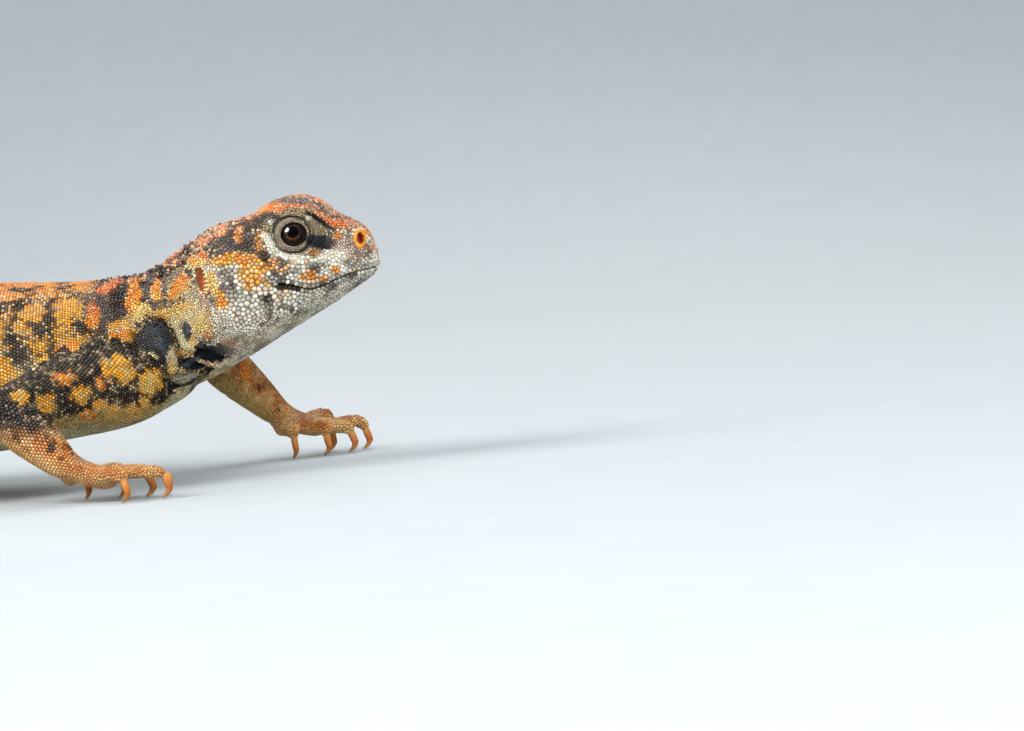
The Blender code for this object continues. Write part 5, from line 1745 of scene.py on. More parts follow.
class Sowing:
    """Finds where scales grow: in rows on lips, lids, trunk and limbs, and scattered between them."""

    def __init__(self, skin: Skin, regions: Regions, plan: CoatPlan, chance: np.random.Generator) -> None:
        """Starts without any scales.

        Args:
            skin: the skin they grow on.
            regions: which part of the animal each place belongs to.
            plan: the sizes of the scales.
            chance: where the random draws come from.
        """
        self.skin, self.regions, self.plan, self.chance = skin, regions, plan, chance
        self.skin_parts = regions.part_of[regions.of(skin.points)]

    def seeds(self) -> Seeds:
        """The scales' places, evened out, with the fixed rows kept.

        Returns:
            The places on the skin.
        """
        rows = [self.lip_rows(), self.lid_rings(), self.trunk_rows(), self.limb_rows()]
        fixed = sum(len(points) for points, _ in rows)
        rows.append(self.scattered())
        points = np.concatenate([points for points, _ in rows])
        pitch = np.concatenate([pitch for _, pitch in rows])
        kept = thinned(points, pitch * self.plan.least_gap)
        seeds = Seeds(points[kept], pitch[kept], kept >= fixed)
        self.spread(seeds, 5)
        return seeds

    def lip_rows(self) -> tuple[Array, Array]:
        """The lip scales, in rows above and below the mouth from corner to corner.

        Returns:
            Their places and sizes.
        """
        angles = np.linspace(0.3, math.pi - 0.3, 240)
        path = []
        for x in np.linspace(self.plan.lip_from, TRUNK.snout, 90):
            ring = TRUNK.points(np.full(len(angles), x), angles)
            path.append(ring[np.argmin(np.abs(ring[:, 2] - MOUTH.at(x)))])
        half = np.array(path)
        whole = np.concatenate([half, (half * np.array([1, -1, 1]))[::-1]])
        length = path_length(whole)
        found = []
        for number, offset in enumerate(self.plan.lip_rows):
            places = np.arange(0.3 + 0.5 * (number % 2), length[-1], self.plan.lip_step)
            found.append(along_path(places, length, whole) + np.array([0, 0, offset]))
        points, _, _ = self.skin.foot_of(np.concatenate(found))
        return points, np.full(len(points), self.plan.lip_step)

    def lid_rings(self) -> tuple[Array, Array]:
        """The lids' granules, in rings round each eye.

        Returns:
            Their places and sizes.
        """
        found = []
        wide, high = np.array(self.skin.form.lid_opening) / self.skin.form.lid_margin
        for facing in SIDES:
            axis, forward, lift = self.skin.eye_frame(facing)
            for number, ring in enumerate(self.plan.lid_rings):
                count = round(2 * math.pi * ring / self.plan.lid_pitch)
                turn = (np.arange(count) + 0.5 * (number % 2)) * 2 * math.pi / count
                place = np.outer(np.cos(turn) * ring * wide, forward)
                place = place + np.outer(np.sin(turn) * ring * high, lift)
                height = self.skin.form.lids.at(np.array([ring]))[0]
                found.append(place + eye_centre(facing) + axis * height)
        points, _, gaps = self.skin.foot_of(np.concatenate(found), 2.0)
        points = points[gaps < 1.5]
        return points, np.full(len(points), self.plan.lid_pitch)

    def trunk_rows(self) -> tuple[Array, Array]:
        """Cross rows round the body and tail, each half a step off the last.

        Returns:
            Their places and sizes.
        """
        found, sizes = [], []
        x, number = self.plan.lattice_to_x, 0
        angles = np.linspace(0, 2 * math.pi, 361)
        while x > TRUNK.tail_tip + 1:
            pitch = float(self.plan.along_trunk.at(np.array([x]))[0])
            ring = TRUNK.points(np.full(len(angles), x), angles)
            length = path_length(ring)
            places = np.arange(0.5 * (number % 2), length[-1] / 2 / pitch, 1) * pitch
            places = np.concatenate([places, length[-1] - places[places > 0]])
            found.append(along_path(places, length, ring))
            sizes.append(np.full(len(places), pitch))
            x -= pitch * self.plan.row_share
            number += 1
        points, _, gaps = self.skin.foot_of(np.concatenate(found), 2.0)
        near = gaps < 0.75
        return points[near], np.concatenate(sizes)[near]

    def limb_rows(self) -> tuple[Array, Array]:
        """Rows round each length of a leg.

        Returns:
            Their places and sizes.
        """
        found, sizes = [], []
        for number, name in enumerate(self.regions.names):
            if "leg" not in name:
                continue
            pitch = self.plan.arm if "fore" in name else self.plan.leg
            pitch = self.plan.inner_arm if "foreleg_left" in name else pitch
            axis, middle = self.regions.axes[number], self.regions.middles[number]
            offset = self.regions.meshes[number] - middle
            along = offset @ axis
            radius = float(np.median(np.linalg.norm(offset - np.outer(along, axis), axis=1)))
            across = unit(np.cross(axis, (0, 0, 1)))
            lift = np.cross(across, axis)
            count = max(8, round(2 * math.pi * radius / pitch))
            rows = np.arange(along.min(), along.max(), pitch * self.plan.row_share)
            for (row, place), k in product(enumerate(rows), range(count)):
                turn = (k + 0.5 * (row % 2)) * 2 * math.pi / count
                direction = across * math.cos(turn) + lift * math.sin(turn)
                start = middle + axis * place
                hit = self.skin.tree.ray_cast(start.tolist(), direction.tolist(), radius * 1.7)[0]
                if hit is not None:
                    found.append(tuple(hit))
                    sizes.append(pitch)
        return np.array(found), np.array(sizes)

    def scattered(self) -> tuple[Array, Array]:
        """Chance places over the whole skin, dense enough to fill what the rows leave.

        Returns:
            Their places and sizes.
        """
        skin, plan = self.skin, self.plan
        pitch = plan.pitch(skin.points, skin.soft_normals, self.skin_parts)
        corners = skin.points[skin.triangles]
        square = np.cross(corners[:, 1] - corners[:, 0], corners[:, 2] - corners[:, 0])
        area = np.linalg.norm(square, axis=1) / 2
        sizes = pitch[skin.triangles].mean(axis=1)
        parts = self.skin_parts[skin.triangles[:, 0]]
        rowed = (corners[:, 0, 0] < plan.lattice_to_x) & (parts < Part.FOREFOOT)
        wanted = area / sizes**2 * 1.155 * np.where(rowed, plan.darts * plan.rowed_darts, plan.darts)
        count = self.chance.poisson(wanted)
        chosen = np.repeat(np.arange(len(count)), count)
        self.chance.shuffle(chosen)
        a, b = self.chance.random(len(chosen)), self.chance.random(len(chosen))
        flip = a + b > 1
        a, b = np.where(flip, 1 - a, a)[:, None], np.where(flip, 1 - b, b)[:, None]
        first, second, third = (corners[chosen, k] for k in range(3))
        spread = plan.scatter * (parts[chosen] == Part.HEAD)
        sizes = sizes[chosen] * np.exp(spread * self.chance.uniform(-1.2, 1.0, len(chosen)))
        return first + (second - first) * a + (third - first) * b, sizes

    def spread(self, seeds: Seeds, rounds: int) -> None:
        """Evens out the free seeds by letting neighbours push each other along the skin.

        Args:
            seeds: the places, which are changed.
            rounds: how often they push.
        """
        free = np.nonzero(seeds.free)[0]
        for _ in range(rounds):
            near, gaps = neighbours(seeds.points, free, 7)
            away = seeds.points[free][:, None, :] - seeds.points[near]
            target = (seeds.pitch[free][:, None] + seeds.pitch[near]) * 0.51
            force = np.clip(target - gaps, 0, None) / np.maximum(gaps, 1e-3) * 0.28
            moved = seeds.points[free] + (away * force[:, :, None]).sum(axis=1)
            seeds.points[free], _, _ = self.skin.foot_of(moved)


class Coat:
    """The scales that cover the skin."""

    mean_reach: float = 1.0
    imbricate: float = 0.3
    # Share of the gap colour on the beads' second ring, a painted shade at each scale's edge.
    rim_gap_and_shade_share: float = 0.3
    patch: float = 0.0015
    bead_pitch: float = 0.55

    def __init__(
        self, skin: Skin, regions: Regions, markings: Markings, plan: CoatPlan = CoatPlan()
    ) -> None:
        """Starts an empty coat.

        Args:
            skin: the skin it grows on.
            regions: which part of the animal each place belongs to.
            markings: the colours of the hide.
            plan: the sizes of the scales.
        """
        self.skin, self.regions, self.markings, self.plan = skin, regions, markings, plan
        self.chance = np.random.default_rng(11)
        self.sowing = Sowing(skin, regions, plan, self.chance)

    def grow(self) -> None:
        """Finds every scale's place, size, colour and directions."""
        seeds = self.sowing.seeds()
        points, normals, _ = self.skin.foot_of(seeds.points)
        kept = ~self.in_openings(points)
        self.points, self.normals, self.pitch = points[kept], normals[kept], seeds.pitch[kept]
        self.nodes = self.regions.of(self.points)
        self.parts = self.regions.part_of[self.nodes]
        self.luck = self.chance.random((len(self.points), 3))
        at = Places(self.points, self.normals, self.parts, self.luck[:, 0])
        colours = self.markings.colours(at)
        self.gap_tone_and_shade = self.markings.gaps(at, colours)
        self.colours = colours * (0.74 + 0.42 * self.luck[:, 1:2])
        self.measure()
        LOG.info("coat: %d scales", len(self.points))

    def in_openings(self, points: Array) -> Array:
        """Whether each place lies inside an eye, a nostril, an ear or the slit of the mouth.

        Args:
            points: places in millimetres.

        Returns:
            One answer for each place.
        """
        own = mirrored(points)
        inside = np.zeros(len(points), bool)
        for facing in SIDES:
            ring, height = self.skin.eye_ring(points, facing)
            inside |= (ring < self.plan.lid_clear) & (height > 0) & (height < 5)
        for pit, edge in ((self.skin.form.nostril, 1.75), (self.skin.form.ear, 1.0)):
            lean = math.radians(pit.lean)
            off = own[:, [0, 2]] - pit.place
            along = off[:, 0] * math.cos(lean) + off[:, 1] * math.sin(lean)
            up = off[:, 1] * math.cos(lean) - off[:, 0] * math.sin(lean)
            inside |= (np.hypot(along / pit.radii[0], up / pit.radii[1]) < edge) & (own[:, 1] > 3)
        slit = np.abs(points[:, 2] - MOUTH.at(points[:, 0])) < self.plan.slit
        return inside | (slit & (points[:, 0] > self.plan.slit_from))

    def measure(self) -> None:
        """Finds each scale's own directions and where its neighbours lie."""
        lie = self.regions.axes[self.nodes]
        self.back = unit(lie - self.normals * (lie * self.normals).sum(axis=1, keepdims=True))
        self.across = np.cross(self.normals, self.back)
        near, _ = neighbours(self.points, np.arange(len(self.points)), 9)
        away = self.points[near] - self.points[:, None, :]
        self.near_back = (away * self.back[:, None, :]).sum(axis=2)
        self.near_across = (away * self.across[:, None, :]).sum(axis=2)

    def reaches(self, chosen: Array, sides: int) -> Array:
        """How far scales reach towards their neighbours.

        Args:
            chosen: the numbers of the scales.
            sides: how many directions each has.

        Returns:
            One row for each scale.
        """
        back, across = self.near_back[chosen], self.near_across[chosen]
        square = back**2 + across**2
        found = np.empty((len(chosen), sides))
        for k in range(sides):
            turn = 2 * math.pi * k / sides
            ahead = back * math.cos(turn) + across * math.sin(turn)
            reach = np.where(ahead > 0.05, square / (2 * np.maximum(ahead, 0.05)), 50)
            found[:, k] = (reach**-7.0).sum(axis=1) ** (-1 / 7)
        pitch = self.pitch[chosen][:, None]
        return np.clip(found * self.mean_reach, pitch * 0.25, pitch * 0.72)

    def heights(self, chosen: Array) -> tuple[Array, Array]:
        """How scales rise.

        Args:
            chosen: the numbers of the scales.

        Returns:
            How high each rises, and how far it leans back.
        """
        x, z = self.points[chosen, 0], self.points[chosen, 2]
        parts, pitch, luck = self.parts[chosen], self.pitch[chosen], self.luck[chosen]
        plan, up = self.plan, self.normals[chosen, 2]
        head, limb = parts == Part.HEAD, parts >= Part.FORELEG
        bead = ease(1.05, 1.3, pitch) * (z < 47) * (x < 30)
        share = np.where(head, plan.head_rise + plan.bead_rise * bead, plan.rise)
        ridge = ease(14.5, 16, x) * ease(31, 28, x) * ease(47.4, 46.2, z) * ease(39.5, 41, z)
        share = share + plan.ridge_rise * ridge * head * ease(0.3, 0.9, luck[:, 1])
        share = np.where(x > -24, np.where(head, share, plan.front_rise), share)
        proud = ease(-24, -16, x) * ease(8, 2, x) * ease(0.2, 0.7, up)
        share = share + plan.nape_rise * proud * ease(0.55, 0.95, luck[:, 2]) * (parts < Part.TAIL)
        share = np.where(limb, plan.limb_rise, share)
        share = share * (1 - plan.flat_belly * ease(-0.4, -0.8, up) * (x < 0))
        leans = [plan.head_lean, plan.limb_lean, plan.tail_lean]
        lean = np.select([head, limb, parts == Part.TAIL], leans, plan.lean)
        return share * pitch * (0.85 + 0.3 * luck[:, 2]), lean

    def unwrapped(self, number: int, points: Array, normals: Array) -> Array:
        """Places on one node's own unwrap: along and round the trunk or limb, or seen from above.

        Args:
            number: the node's number.
            points: places in millimetres.
            normals: the skin's directions there.

        Returns:
            Two coordinates for each place.
        """
        name = self.regions.names[number]
        if "leg" in name:
            axis, offset = self.regions.axes[number], points - self.regions.middles[number]
            across = unit(np.cross(axis, (0, 0, 1)))
            turn = np.arctan2(offset @ np.cross(across, axis), offset @ across)
            return np.stack([offset @ axis, turn], axis=1)
        if "foot" in name:
            under = (normals[:, 2] < 0) * (np.ptp(points[:, 1]) + 1)
            return np.stack([points[:, 0], points[:, 1] + under], axis=1)
        x = points[:, 0]
        turn = np.arctan2(points[:, 1] - TRUNK.sway.at(x), points[:, 2] - TRUNK.widest.at(x))
        return np.stack([x, turn], axis=1)

    def chart(self, chosen: Array) -> Array:
        """The roots' places on an unwrap of the skin, with one strip for each node.

        Args:
            chosen: the numbers of the scales.

        Returns:
            Two coordinates from 0 to 1 for each scale.
        """
        flat = np.empty((len(chosen), 2))
        nodes = self.nodes[chosen]
        present = np.unique(nodes)
        for cell, number in enumerate(present):
            own = nodes == number
            place = self.unwrapped(number, self.points[chosen][own], self.normals[chosen][own])
            low, high = place.min(axis=0), place.max(axis=0)
            place = 0.004 + 0.992 * (place - low) / np.maximum(high - low, 1e-6)
            flat[own, 0] = (cell + place[:, 0]) / len(present)
            flat[own, 1] = place[:, 1]
        return flat

    def piece(self, name: str, chosen: Array, shape: ScaleShape, material: Material) -> Object:
        """One joined mesh of the chosen scales.

        Args:
            name: the piece's name.
            chosen: the numbers of its scales.
            shape: how each of them rises.
            material: what they are made of.

        Returns:
            The new object.
        """
        count, sides = len(chosen), shape.sides
        reach = self.reaches(chosen, sides)
        height, lean = self.heights(chosen)
        turn = 2 * math.pi * np.arange(sides) / sides
        back, across, normal = self.back[chosen], self.across[chosen], self.normals[chosen]
        root, flat = self.points[chosen], self.chart(chosen)
        colour, gap = self.colours[chosen], self.gap_tone_and_shade[chosen]
        places, patches, colours, rises = [], [], [], []
        for number, (share, rise) in enumerate(shape.rings):
            out = reach * share
            tail = 1 + self.imbricate * lean[:, None] * np.maximum(np.cos(turn), 0)
            lift = height[:, None] * (rise + (rise > 0) * lean[:, None] * 0.55 * np.cos(turn))
            place = (
                root[:, None, :]
                + back[:, None, :] * (out * tail * np.cos(turn))[:, :, None]
                + across[:, None, :] * (out * np.sin(turn))[:, :, None]
                + normal[:, None, :] * lift[:, :, None]
            )
            places.append(place)
            patch = np.stack([np.cos(turn), np.sin(turn)], axis=1) * self.patch * share
            patches.append(flat[:, None, :] + patch[None, :, :])
            # The rim ring takes the gap colour and the beads' next ring a share of it: painted shade at each
            # scale's foot, partly the darker skin between scales.
            edge = self.rim_gap_and_shade_share * (number == 1) * (len(shape.rings) > 2)
            tone = gap if number == 0 else colour * (1 - edge) + gap * edge
            colours.append(np.broadcast_to(tone[:, None, :], (count, sides, 3)))
            rises.append(np.full((count, sides), float(number > 0) * 0.7))
        tip = root + normal * (height * shape.apex)[:, None]
        tip = tip + back * (lean * self.pitch[chosen] * 0.2)[:, None]
        places.append(tip[:, None, :])
        patches.append(flat[:, None, :])
        # Painted highlight: each apex is painted 2% lighter, and dark scales off the head get a pale khaki
        # tip that also stands in for the keel's highlight.
        dark = ease(0.09, 0.02, colour.mean(axis=1)) * (self.parts[chosen] != Part.HEAD)
        apex_tip_and_highlight = over(colour * 1.02, Tint.KHAKI, dark * (0.12 + 0.4 * self.luck[chosen, 1]))
        colours.append(apex_tip_and_highlight[:, None, :])
        rises.append(np.ones((count, 1)))
        starts = np.arange(count) * (sides * len(shape.rings) + 1)
        corners = np.array(cone_faces(sides, len(shape.rings)))
        triangles = (corners[None, :, :] + starts[:, None, None]).reshape(-1, 3)
        mesh = triangle_mesh(name, np.concatenate(places, axis=1).reshape(-1, 3), triangles)
        paint_points(mesh, "paint", np.concatenate(colours, axis=1).reshape(-1, 3))
        value_points(mesh, "rise", np.concatenate(rises, axis=1).ravel())
        unwrap(mesh, np.concatenate(patches, axis=1).reshape(-1, 2), triangles)
        return show(name, mesh, material)

    def slots(self) -> dict[str, dict[str, Array]]:
        """Which scales go into each piece, grouped under a name for each kind of skin.

        Returns:
            For each group, its pieces' names and which scales each takes.
        """
        x, y = self.points[:, 0], self.points[:, 1]
        head = self.parts == Part.HEAD
        rich = head & (self.pitch > self.bead_pitch)
        trunk = np.isin(self.parts, [Part.NECK, Part.TORSO]) | (head & ~rich)
        return {
            "head_skin": {"coat_head_right": rich & (y < 0), "coat_head_left": rich & (y >= 0)},
            "neck_skin": {"coat_neck": trunk & (x > -24)},
            "torso_skin": {
                "coat_torso_front": trunk & (x <= -24) & (x > -48),
                "coat_torso_ribs": trunk & (x <= -48) & (x > -82),
                "coat_torso_middle": trunk & (x <= -82) & (x > -125),
                "coat_torso_rear": trunk & (x <= -125),
            },
            "tail_skin": {"coat_tail": self.parts == Part.TAIL},
            "leg_skin": {
                "coat_forelegs": self.parts == Part.FORELEG,
                "coat_hindlegs": self.parts == Part.HINDLEG,
            },
            "foot_skin": {
                "coat_forefeet": self.parts == Part.FOREFOOT,
                "coat_hindfeet": self.parts == Part.HINDFOOT,
            },
        }

    def build(self, material: Material) -> None:
        """Makes the coat's pieces.

        Args:
            material: what they are made of.
        """
        for slot, pieces in self.slots().items():
            shape = BEAD if slot == "head_skin" else GRANULE
            for name, chosen in pieces.items():
                self.piece(name, np.nonzero(chosen)[0], shape, material)
                LOG.info("%s: %d triangles", name, int(chosen.sum()) * shape.triangle_count)

    def hide(self, material: Material) -> Object:
        """The skin itself, painted with the coat's markings.

        Args:
            material: what it is made of.

        Returns:
            The new object.
        """
        skin = self.skin
        luck = value_noise(skin.points, 0.9, 71)
        at = Places(skin.points, skin.soft_normals, self.sowing.skin_parts, luck)
        colours = self.markings.colours(at)
        gaps = self.markings.gaps(at, colours)
        mesh = triangle_mesh("skin", skin.points, skin.triangles)
        # The bare skin takes mostly the gap colour: its own darker tone together with painted shade between
        # the scales.
        paint_points(mesh, "paint", self.opening_colours(gaps * 0.7 + colours * 0.3))
        value_points(mesh, "rise", np.full(len(skin.points), 0.3))
        LOG.info("skin: painted")
        return show("skin", mesh, material)

    def opening_colours(self, colours: Array) -> Array:
        """The skin's colours with those of the inner eye rims, nostrils, ears and mouth, with painted shade
        deep in the ears and in the mouth's slit.

        Args:
            colours: one linear colour for each of the skin's points.

        Returns:
            The new colours.
        """
        form, points = self.skin.form, self.skin.points
        for facing in SIDES:
            ring, height = self.skin.eye_ring(points, facing)
            inner = ease(2.85, 2.55, ring) * (height > 0) * (height < 5)
            colours = over(colours, Tint.SOOT, inner)
        own = mirrored(points)
        side = own[:, 1] > 3
        off = (own[:, [0, 2]] - form.nostril.place) / form.nostril.radii
        ring = np.hypot(off[:, 0], off[:, 1])
        colours = over(colours, Tint.WINE, ease(1.15, 0.95, ring) * side)
        orange = ease(1.3, 1.8, ring + (value_noise(points, 0.7, 72) - 0.5) * 0.8)[:, None]
        rim = Tint.GOLD.linear * (1 - orange) + Tint.ORANGE.linear * orange
        colours = over(colours, rim * 1.5, ease(2.1, 1.8, ring) * ease(1.0, 1.2, ring) * side)
        off = (own[:, [0, 2]] - form.ear.place) / form.ear.radii
        inside = ease(1.15, 0.95, np.hypot(off[:, 0], off[:, 1])) * side
        colours = over(colours, Tint.BRICK, inside)
        # Painted shade deep in the ear: darker rust-brown towards the back of the opening.
        colours = over(colours, Tint.EAR_DEPTH_SHADE, ease(0.5, -0.6, off[:, 0]) * inside * 0.45)
        # Painted shade in the mouth's slit: near black at the back, dusky at the front.
        slit = ease(0.35, 0.15, np.abs(points[:, 2] - MOUTH.at(points[:, 0])))
        front = ease(23, 29, points[:, 0])[:, None]
        tone = Tint.SOOT.linear * 0.6 * (1 - front) + Tint.DUSK.linear * 0.7 * front
        return over(colours, tone, slit * ease(15.5, 17, points[:, 0]))


def neighbours(points: Array, asked: Array, count: int) -> tuple[Array, Array]:
    """The nearest other points of some points.

    Args:
        points: all places.
        asked: the numbers of the points to look from.
        count: how many neighbours for each.

    Returns:
        Their numbers and their distances, one row for each point asked about.
    """
    tree = KDTree(len(points))
    listed = points.tolist()
    for i, place in enumerate(listed):
        tree.insert(place, i)
    tree.balance()
    found = [[(hit[1], hit[2]) for hit in tree.find_n(listed[i], count + 1)[1:]] for i in asked]
    both = np.array(found)
    return both[:, :, 0].astype(int), both[:, :, 1]


def thinned(points: Array, gaps: Array) -> Array:
    """Which points to keep so that none stands within its gap of one kept before it.

    Args:
        points: places in order of their right to stay.
        gaps: the least distance for each.

    Returns:
        The numbers of the points that stay.
    """
    size = float(gaps.max())
    cells: dict[tuple[int, int, int], list] = {}
    kept = []
    squares = (gaps * gaps).tolist()
    homes = np.floor(points / size).astype(int).tolist()
    steps = list(product((-1, 0, 1), repeat=3))
    for i, ((x, y, z), (cx, cy, cz)) in enumerate(zip(points.tolist(), homes)):
        limit = squares[i]
        clear = True
        for dx, dy, dz in steps:
            for px, py, pz in cells.get((cx + dx, cy + dy, cz + dz), ()):
                if (px - x) ** 2 + (py - y) ** 2 + (pz - z) ** 2 < limit:
                    clear = False
                    break
            if not clear:
                break
        if clear:
            cells.setdefault((cx, cy, cz), []).append((x, y, z))
            kept.append(i)
    return np.array(kept)


@dataclass(frozen=True)
class SpineForm:
    """A keeled spine: its half-width, half-height and length, and how its outline narrows."""

    half_width: float
    half_height: float
    length: float
    outline: tuple[tuple[float, float], ...] = ((0, 1.0), (0.3, 0.9), (0.62, 0.58), (0.88, 0.24), (1.0, 0.06))
    keel: float = 0.35
    droop: float = 0.12
    sides: int = 8


class Spines:
    """Many spines gathered into one mesh."""

    def __init__(self) -> None:
        """Starts without any spines."""
        self.points: list[Array] = []
        self.colours: list[Array] = []
        self.rises: list[Array] = []
        self.triangles: list[Array] = []
        self.start = 0

    def add(self, root: Array, axis: Array, outward: Array, form: SpineForm, tints: tuple) -> None:
        """Adds one spine.

        Args:
            root: the middle of its foot.
            axis: where it points.
            outward: away from the skin.
            form: its sizes.
            tints: its linear colours at the foot and at the tip.
        """
        across = unit(np.cross(outward, axis))
        lift = np.cross(axis, across)
        turn = 2 * math.pi * np.arange(form.sides) / form.sides
        ridge = 1 + form.keel * np.maximum(np.sin(turn), 0) ** 6
        for along, share in form.outline:
            middle = root + axis * along * form.length - lift * form.droop * form.length * along**2
            ring = (
                middle
                + np.outer(np.cos(turn) * form.half_width * share, across)
                + np.outer(np.sin(turn) * form.half_height * share * ridge, lift)
            )
            self.points.append(ring)
            tone = tints[0] + (tints[1] - tints[0]) * along**1.3
            self.colours.append(np.tile(tone, (form.sides, 1)))
            self.rises.append(np.full(form.sides, 0.4 + 0.6 * along))
        tip = root + axis * form.length * 1.01 - lift * form.droop * form.length
        self.points.append(tip[None, :])
        self.colours.append(tints[1][None, :])
        self.rises.append(np.ones(1))
        self.triangles.append(np.array(cone_faces(form.sides, len(form.outline))) + self.start)
        self.start += form.sides * len(form.outline) + 1

    def piece(self, name: str, material: Material) -> Object:
        """The gathered spines as one object.

        Args:
            name: the piece's name.
            material: what they are made of.

        Returns:
            The new object.
        """
        points, triangles = np.concatenate(self.points), np.concatenate(self.triangles)
        mesh = triangle_mesh(name, points, triangles)
        paint_points(mesh, "paint", np.concatenate(self.colours))
        value_points(mesh, "rise", np.concatenate(self.rises))
        turn = np.arctan2(points[:, 1] - TRUNK.sway.at(points[:, 0]), points[:, 2])
        flat = np.stack([points[:, 0], turn], axis=1)
        low, high = flat.min(axis=0), flat.max(axis=0)
        unwrap(mesh, 0.003 + 0.994 * (flat - low) / (high - low), triangles)
        return show(name, mesh, material)


@dataclass(frozen=True)
class Whorls:
    """The rings of keeled spines round the tail."""

    count: int = 21
    first: float = -176.5
    last: float = -320.0
    crowding: float = 0.94
    pitch: float = 3.6
    fewest: int = 7
    arc: float = math.radians(112)
    tilt: float = math.radians(21)
    sunk: float = 0.7
    form: SpineForm = SpineForm(1.95, 1.25, 7.2)

    def build(self, material: Material) -> None:
        """Makes the spines, smaller where the tail is thinner.

        Args:
            material: what they are made of.
        """
        chance = np.random.default_rng(5)
        spines = Spines()
        for whorl in range(self.count):
            x = self.first + (self.last - self.first) * (whorl / (self.count - 1)) ** self.crowding
            self.ring(spines, x, whorl % 3 == 1, chance)
        spines.piece("tail_spines", material)

    def ring(self, spines: Spines, x: float, pale: bool, chance: np.random.Generator) -> None:
        """Adds one ring.

        Args:
            spines: what it is added to.
            x: where it stands on the tail.
            pale: whether its spines have a sandy foot.
            chance: the source of small differences.
        """
        half, sway, widest = (
            line.at(np.array([x]))[0] for line in (TRUNK.half_width, TRUNK.sway, TRUNK.widest)
        )
        size = (half / TRUNK.half_width.at(np.array([self.first]))[0]) ** 0.6
        number = max(self.fewest, round(2 * self.arc * half * 0.94 / (self.pitch * size)))
        turn = self.arc * (2 * (np.arange(number) + 0.5) / number - 1)
        feet = TRUNK.points(np.full(number, x), turn)
        for foot, angle in zip(feet, turn):
            outward = unit(foot - np.array([x, sway, widest]))
            share = size * chance.uniform(0.9, 1.08) * (1 - 0.3 * abs(angle / self.arc) ** 3)
            tilt = self.tilt * chance.uniform(0.85, 1.15)
            axis = unit(np.array([-math.cos(tilt), 0, 0]) + outward * math.sin(tilt))
            base = Tint.TAN.linear * 0.75 if pale else Tint.UMBER.linear * 1.15
            base = base * chance.uniform(0.8, 1.2)
            form = SpineForm(
                self.form.half_width * share, self.form.half_height * share, self.form.length * share
            )
            tints = (base, Tint.SAND.linear * chance.uniform(0.8, 1.05))
            spines.add(foot - outward * self.sunk * share, axis, outward, form, tints)


@dataclass(frozen=True)
class EarFringe:
    """The pale pointed scales along the front edge of each ear."""

    turns: tuple[float, ...] = (64, 46, 28, 10, -8, -26, -44, -62)
    lengths: tuple[float, ...] = (0.5, 0.6, 0.75, 0.85, 0.95, 1.05, 1.0, 0.7)
    reach: float = 1.15
    half_width: float = 0.36
    half_height: float = 0.3
    lift: float = 0.35
    sunk: float = 0.15

    def build(self, skin: Skin, material: Material) -> None:
        """Makes both fringes.

        Args:
            skin: what they stand on.
            material: what they are made of.
        """
        spines = Spines()
        pit = skin.form.ear
        lean = math.radians(pit.lean)
        for facing in SIDES:
            outward = np.array([0, facing, 0.0])
            for turn, length in zip(self.turns, self.lengths):
                a = math.radians(turn)
                along, up = math.cos(a) * pit.radii[0] * self.reach, math.sin(a) * pit.radii[1] * self.reach
                x = pit.place[0] + along * math.cos(lean) - up * math.sin(lean)
                z = pit.place[1] + up * math.cos(lean) + along * math.sin(lean)
                hit = skin.tree.ray_cast((x, facing * 40, z), (0, -facing, 0), 60)[0]
                axis = unit(np.array([-1.0, facing * self.lift, -0.12 * math.sin(a)]))
                form = SpineForm(self.half_width, self.half_height, length, keel=0.2, droop=0.05)
                tints = (Tint.YELLOW.linear * 0.9, Tint.CREAM.linear)
                spines.add(np.array(hit) - axis * self.sunk, axis, outward, form, tints)
        spines.piece("ear_fringe", material)


class Graph:
    """Adds and links the nodes of one tree."""

    def __init__(self, tree: NodeTree) -> None:
        """Takes up a tree of nodes.

        Args:
            tree: the tree, which is added to.
        """
        self.tree = tree
        self.column = 0

    def add(self, kind: str, inputs: dict | None = None, **settings: object) -> Node:
        """A node with its settings, its inputs set or linked by name or number.

        Args:
            kind: the node's type.
            inputs: a value or another node's output for each input.
            settings: the node's own properties.

        Returns:
            The new node.
        """
        node = self.tree.nodes.new(kind)
        node.location = (self.column * 180, 0)
        self.column += 1
        for key, value in settings.items():
            setattr(node, key, value)
        for key, value in (inputs or {}).items():
            self.feed(node, key, value)
        return node

    def feed(self, node: Node, key: str | int, value: object) -> None:
        """Sets or links one input of a node.

        Args:
            node: the node.
            key: the input's name or number.
            value: a value or another node's output.
        """
        if isinstance(value, NodeSocket):
            self.tree.links.new(value, node.inputs[key])
        else:
            node.inputs[key].default_value = value

    def noise(self, size: object, detail: float) -> NodeSocket:
        """A fine noise in the object's own space.

        Args:
            size: how many grains lie in a metre, or a node's output that gives it.
            detail: how many finer layers it has.

        Returns:
            The noise, from 0 to 1.
        """
        where = self.add("ShaderNodeTexCoord").outputs["Object"]
        inputs = {"Vector": where, "Scale": size, "Detail": detail}
        return self.add("ShaderNodeTexNoise", inputs).outputs["Fac"]

    def stored(self, name: str) -> Node:
        """The values painted on the mesh under that name."""
        return self.add("ShaderNodeAttribute", attribute_name=name)

    def mix(self, share: object, first: object, second: object, blend: str = "MIX") -> NodeSocket:
        """Two colours mixed by a share."""
        node = self.add("ShaderNodeMix", {0: share, 6: first, 7: second}, data_type="RGBA", blend_type=blend)
        return node.outputs[2]

    def math(self, operation: str, first: object, second: object = 0.5) -> NodeSocket:
        """A sum or other operation on two values."""
        return self.add("ShaderNodeMath", {0: first, 1: second}, operation=operation).outputs[0]

    def step(self, value: object, start: float, end: float, low: float = 0, high: float = 1) -> NodeSocket:
        """A soft step of a value."""
        inputs = {"Value": value, "From Min": start, "From Max": end, "To Min": low, "To Max": high}
        return self.add("ShaderNodeMapRange", inputs, interpolation_type="SMOOTHSTEP").outputs[0]


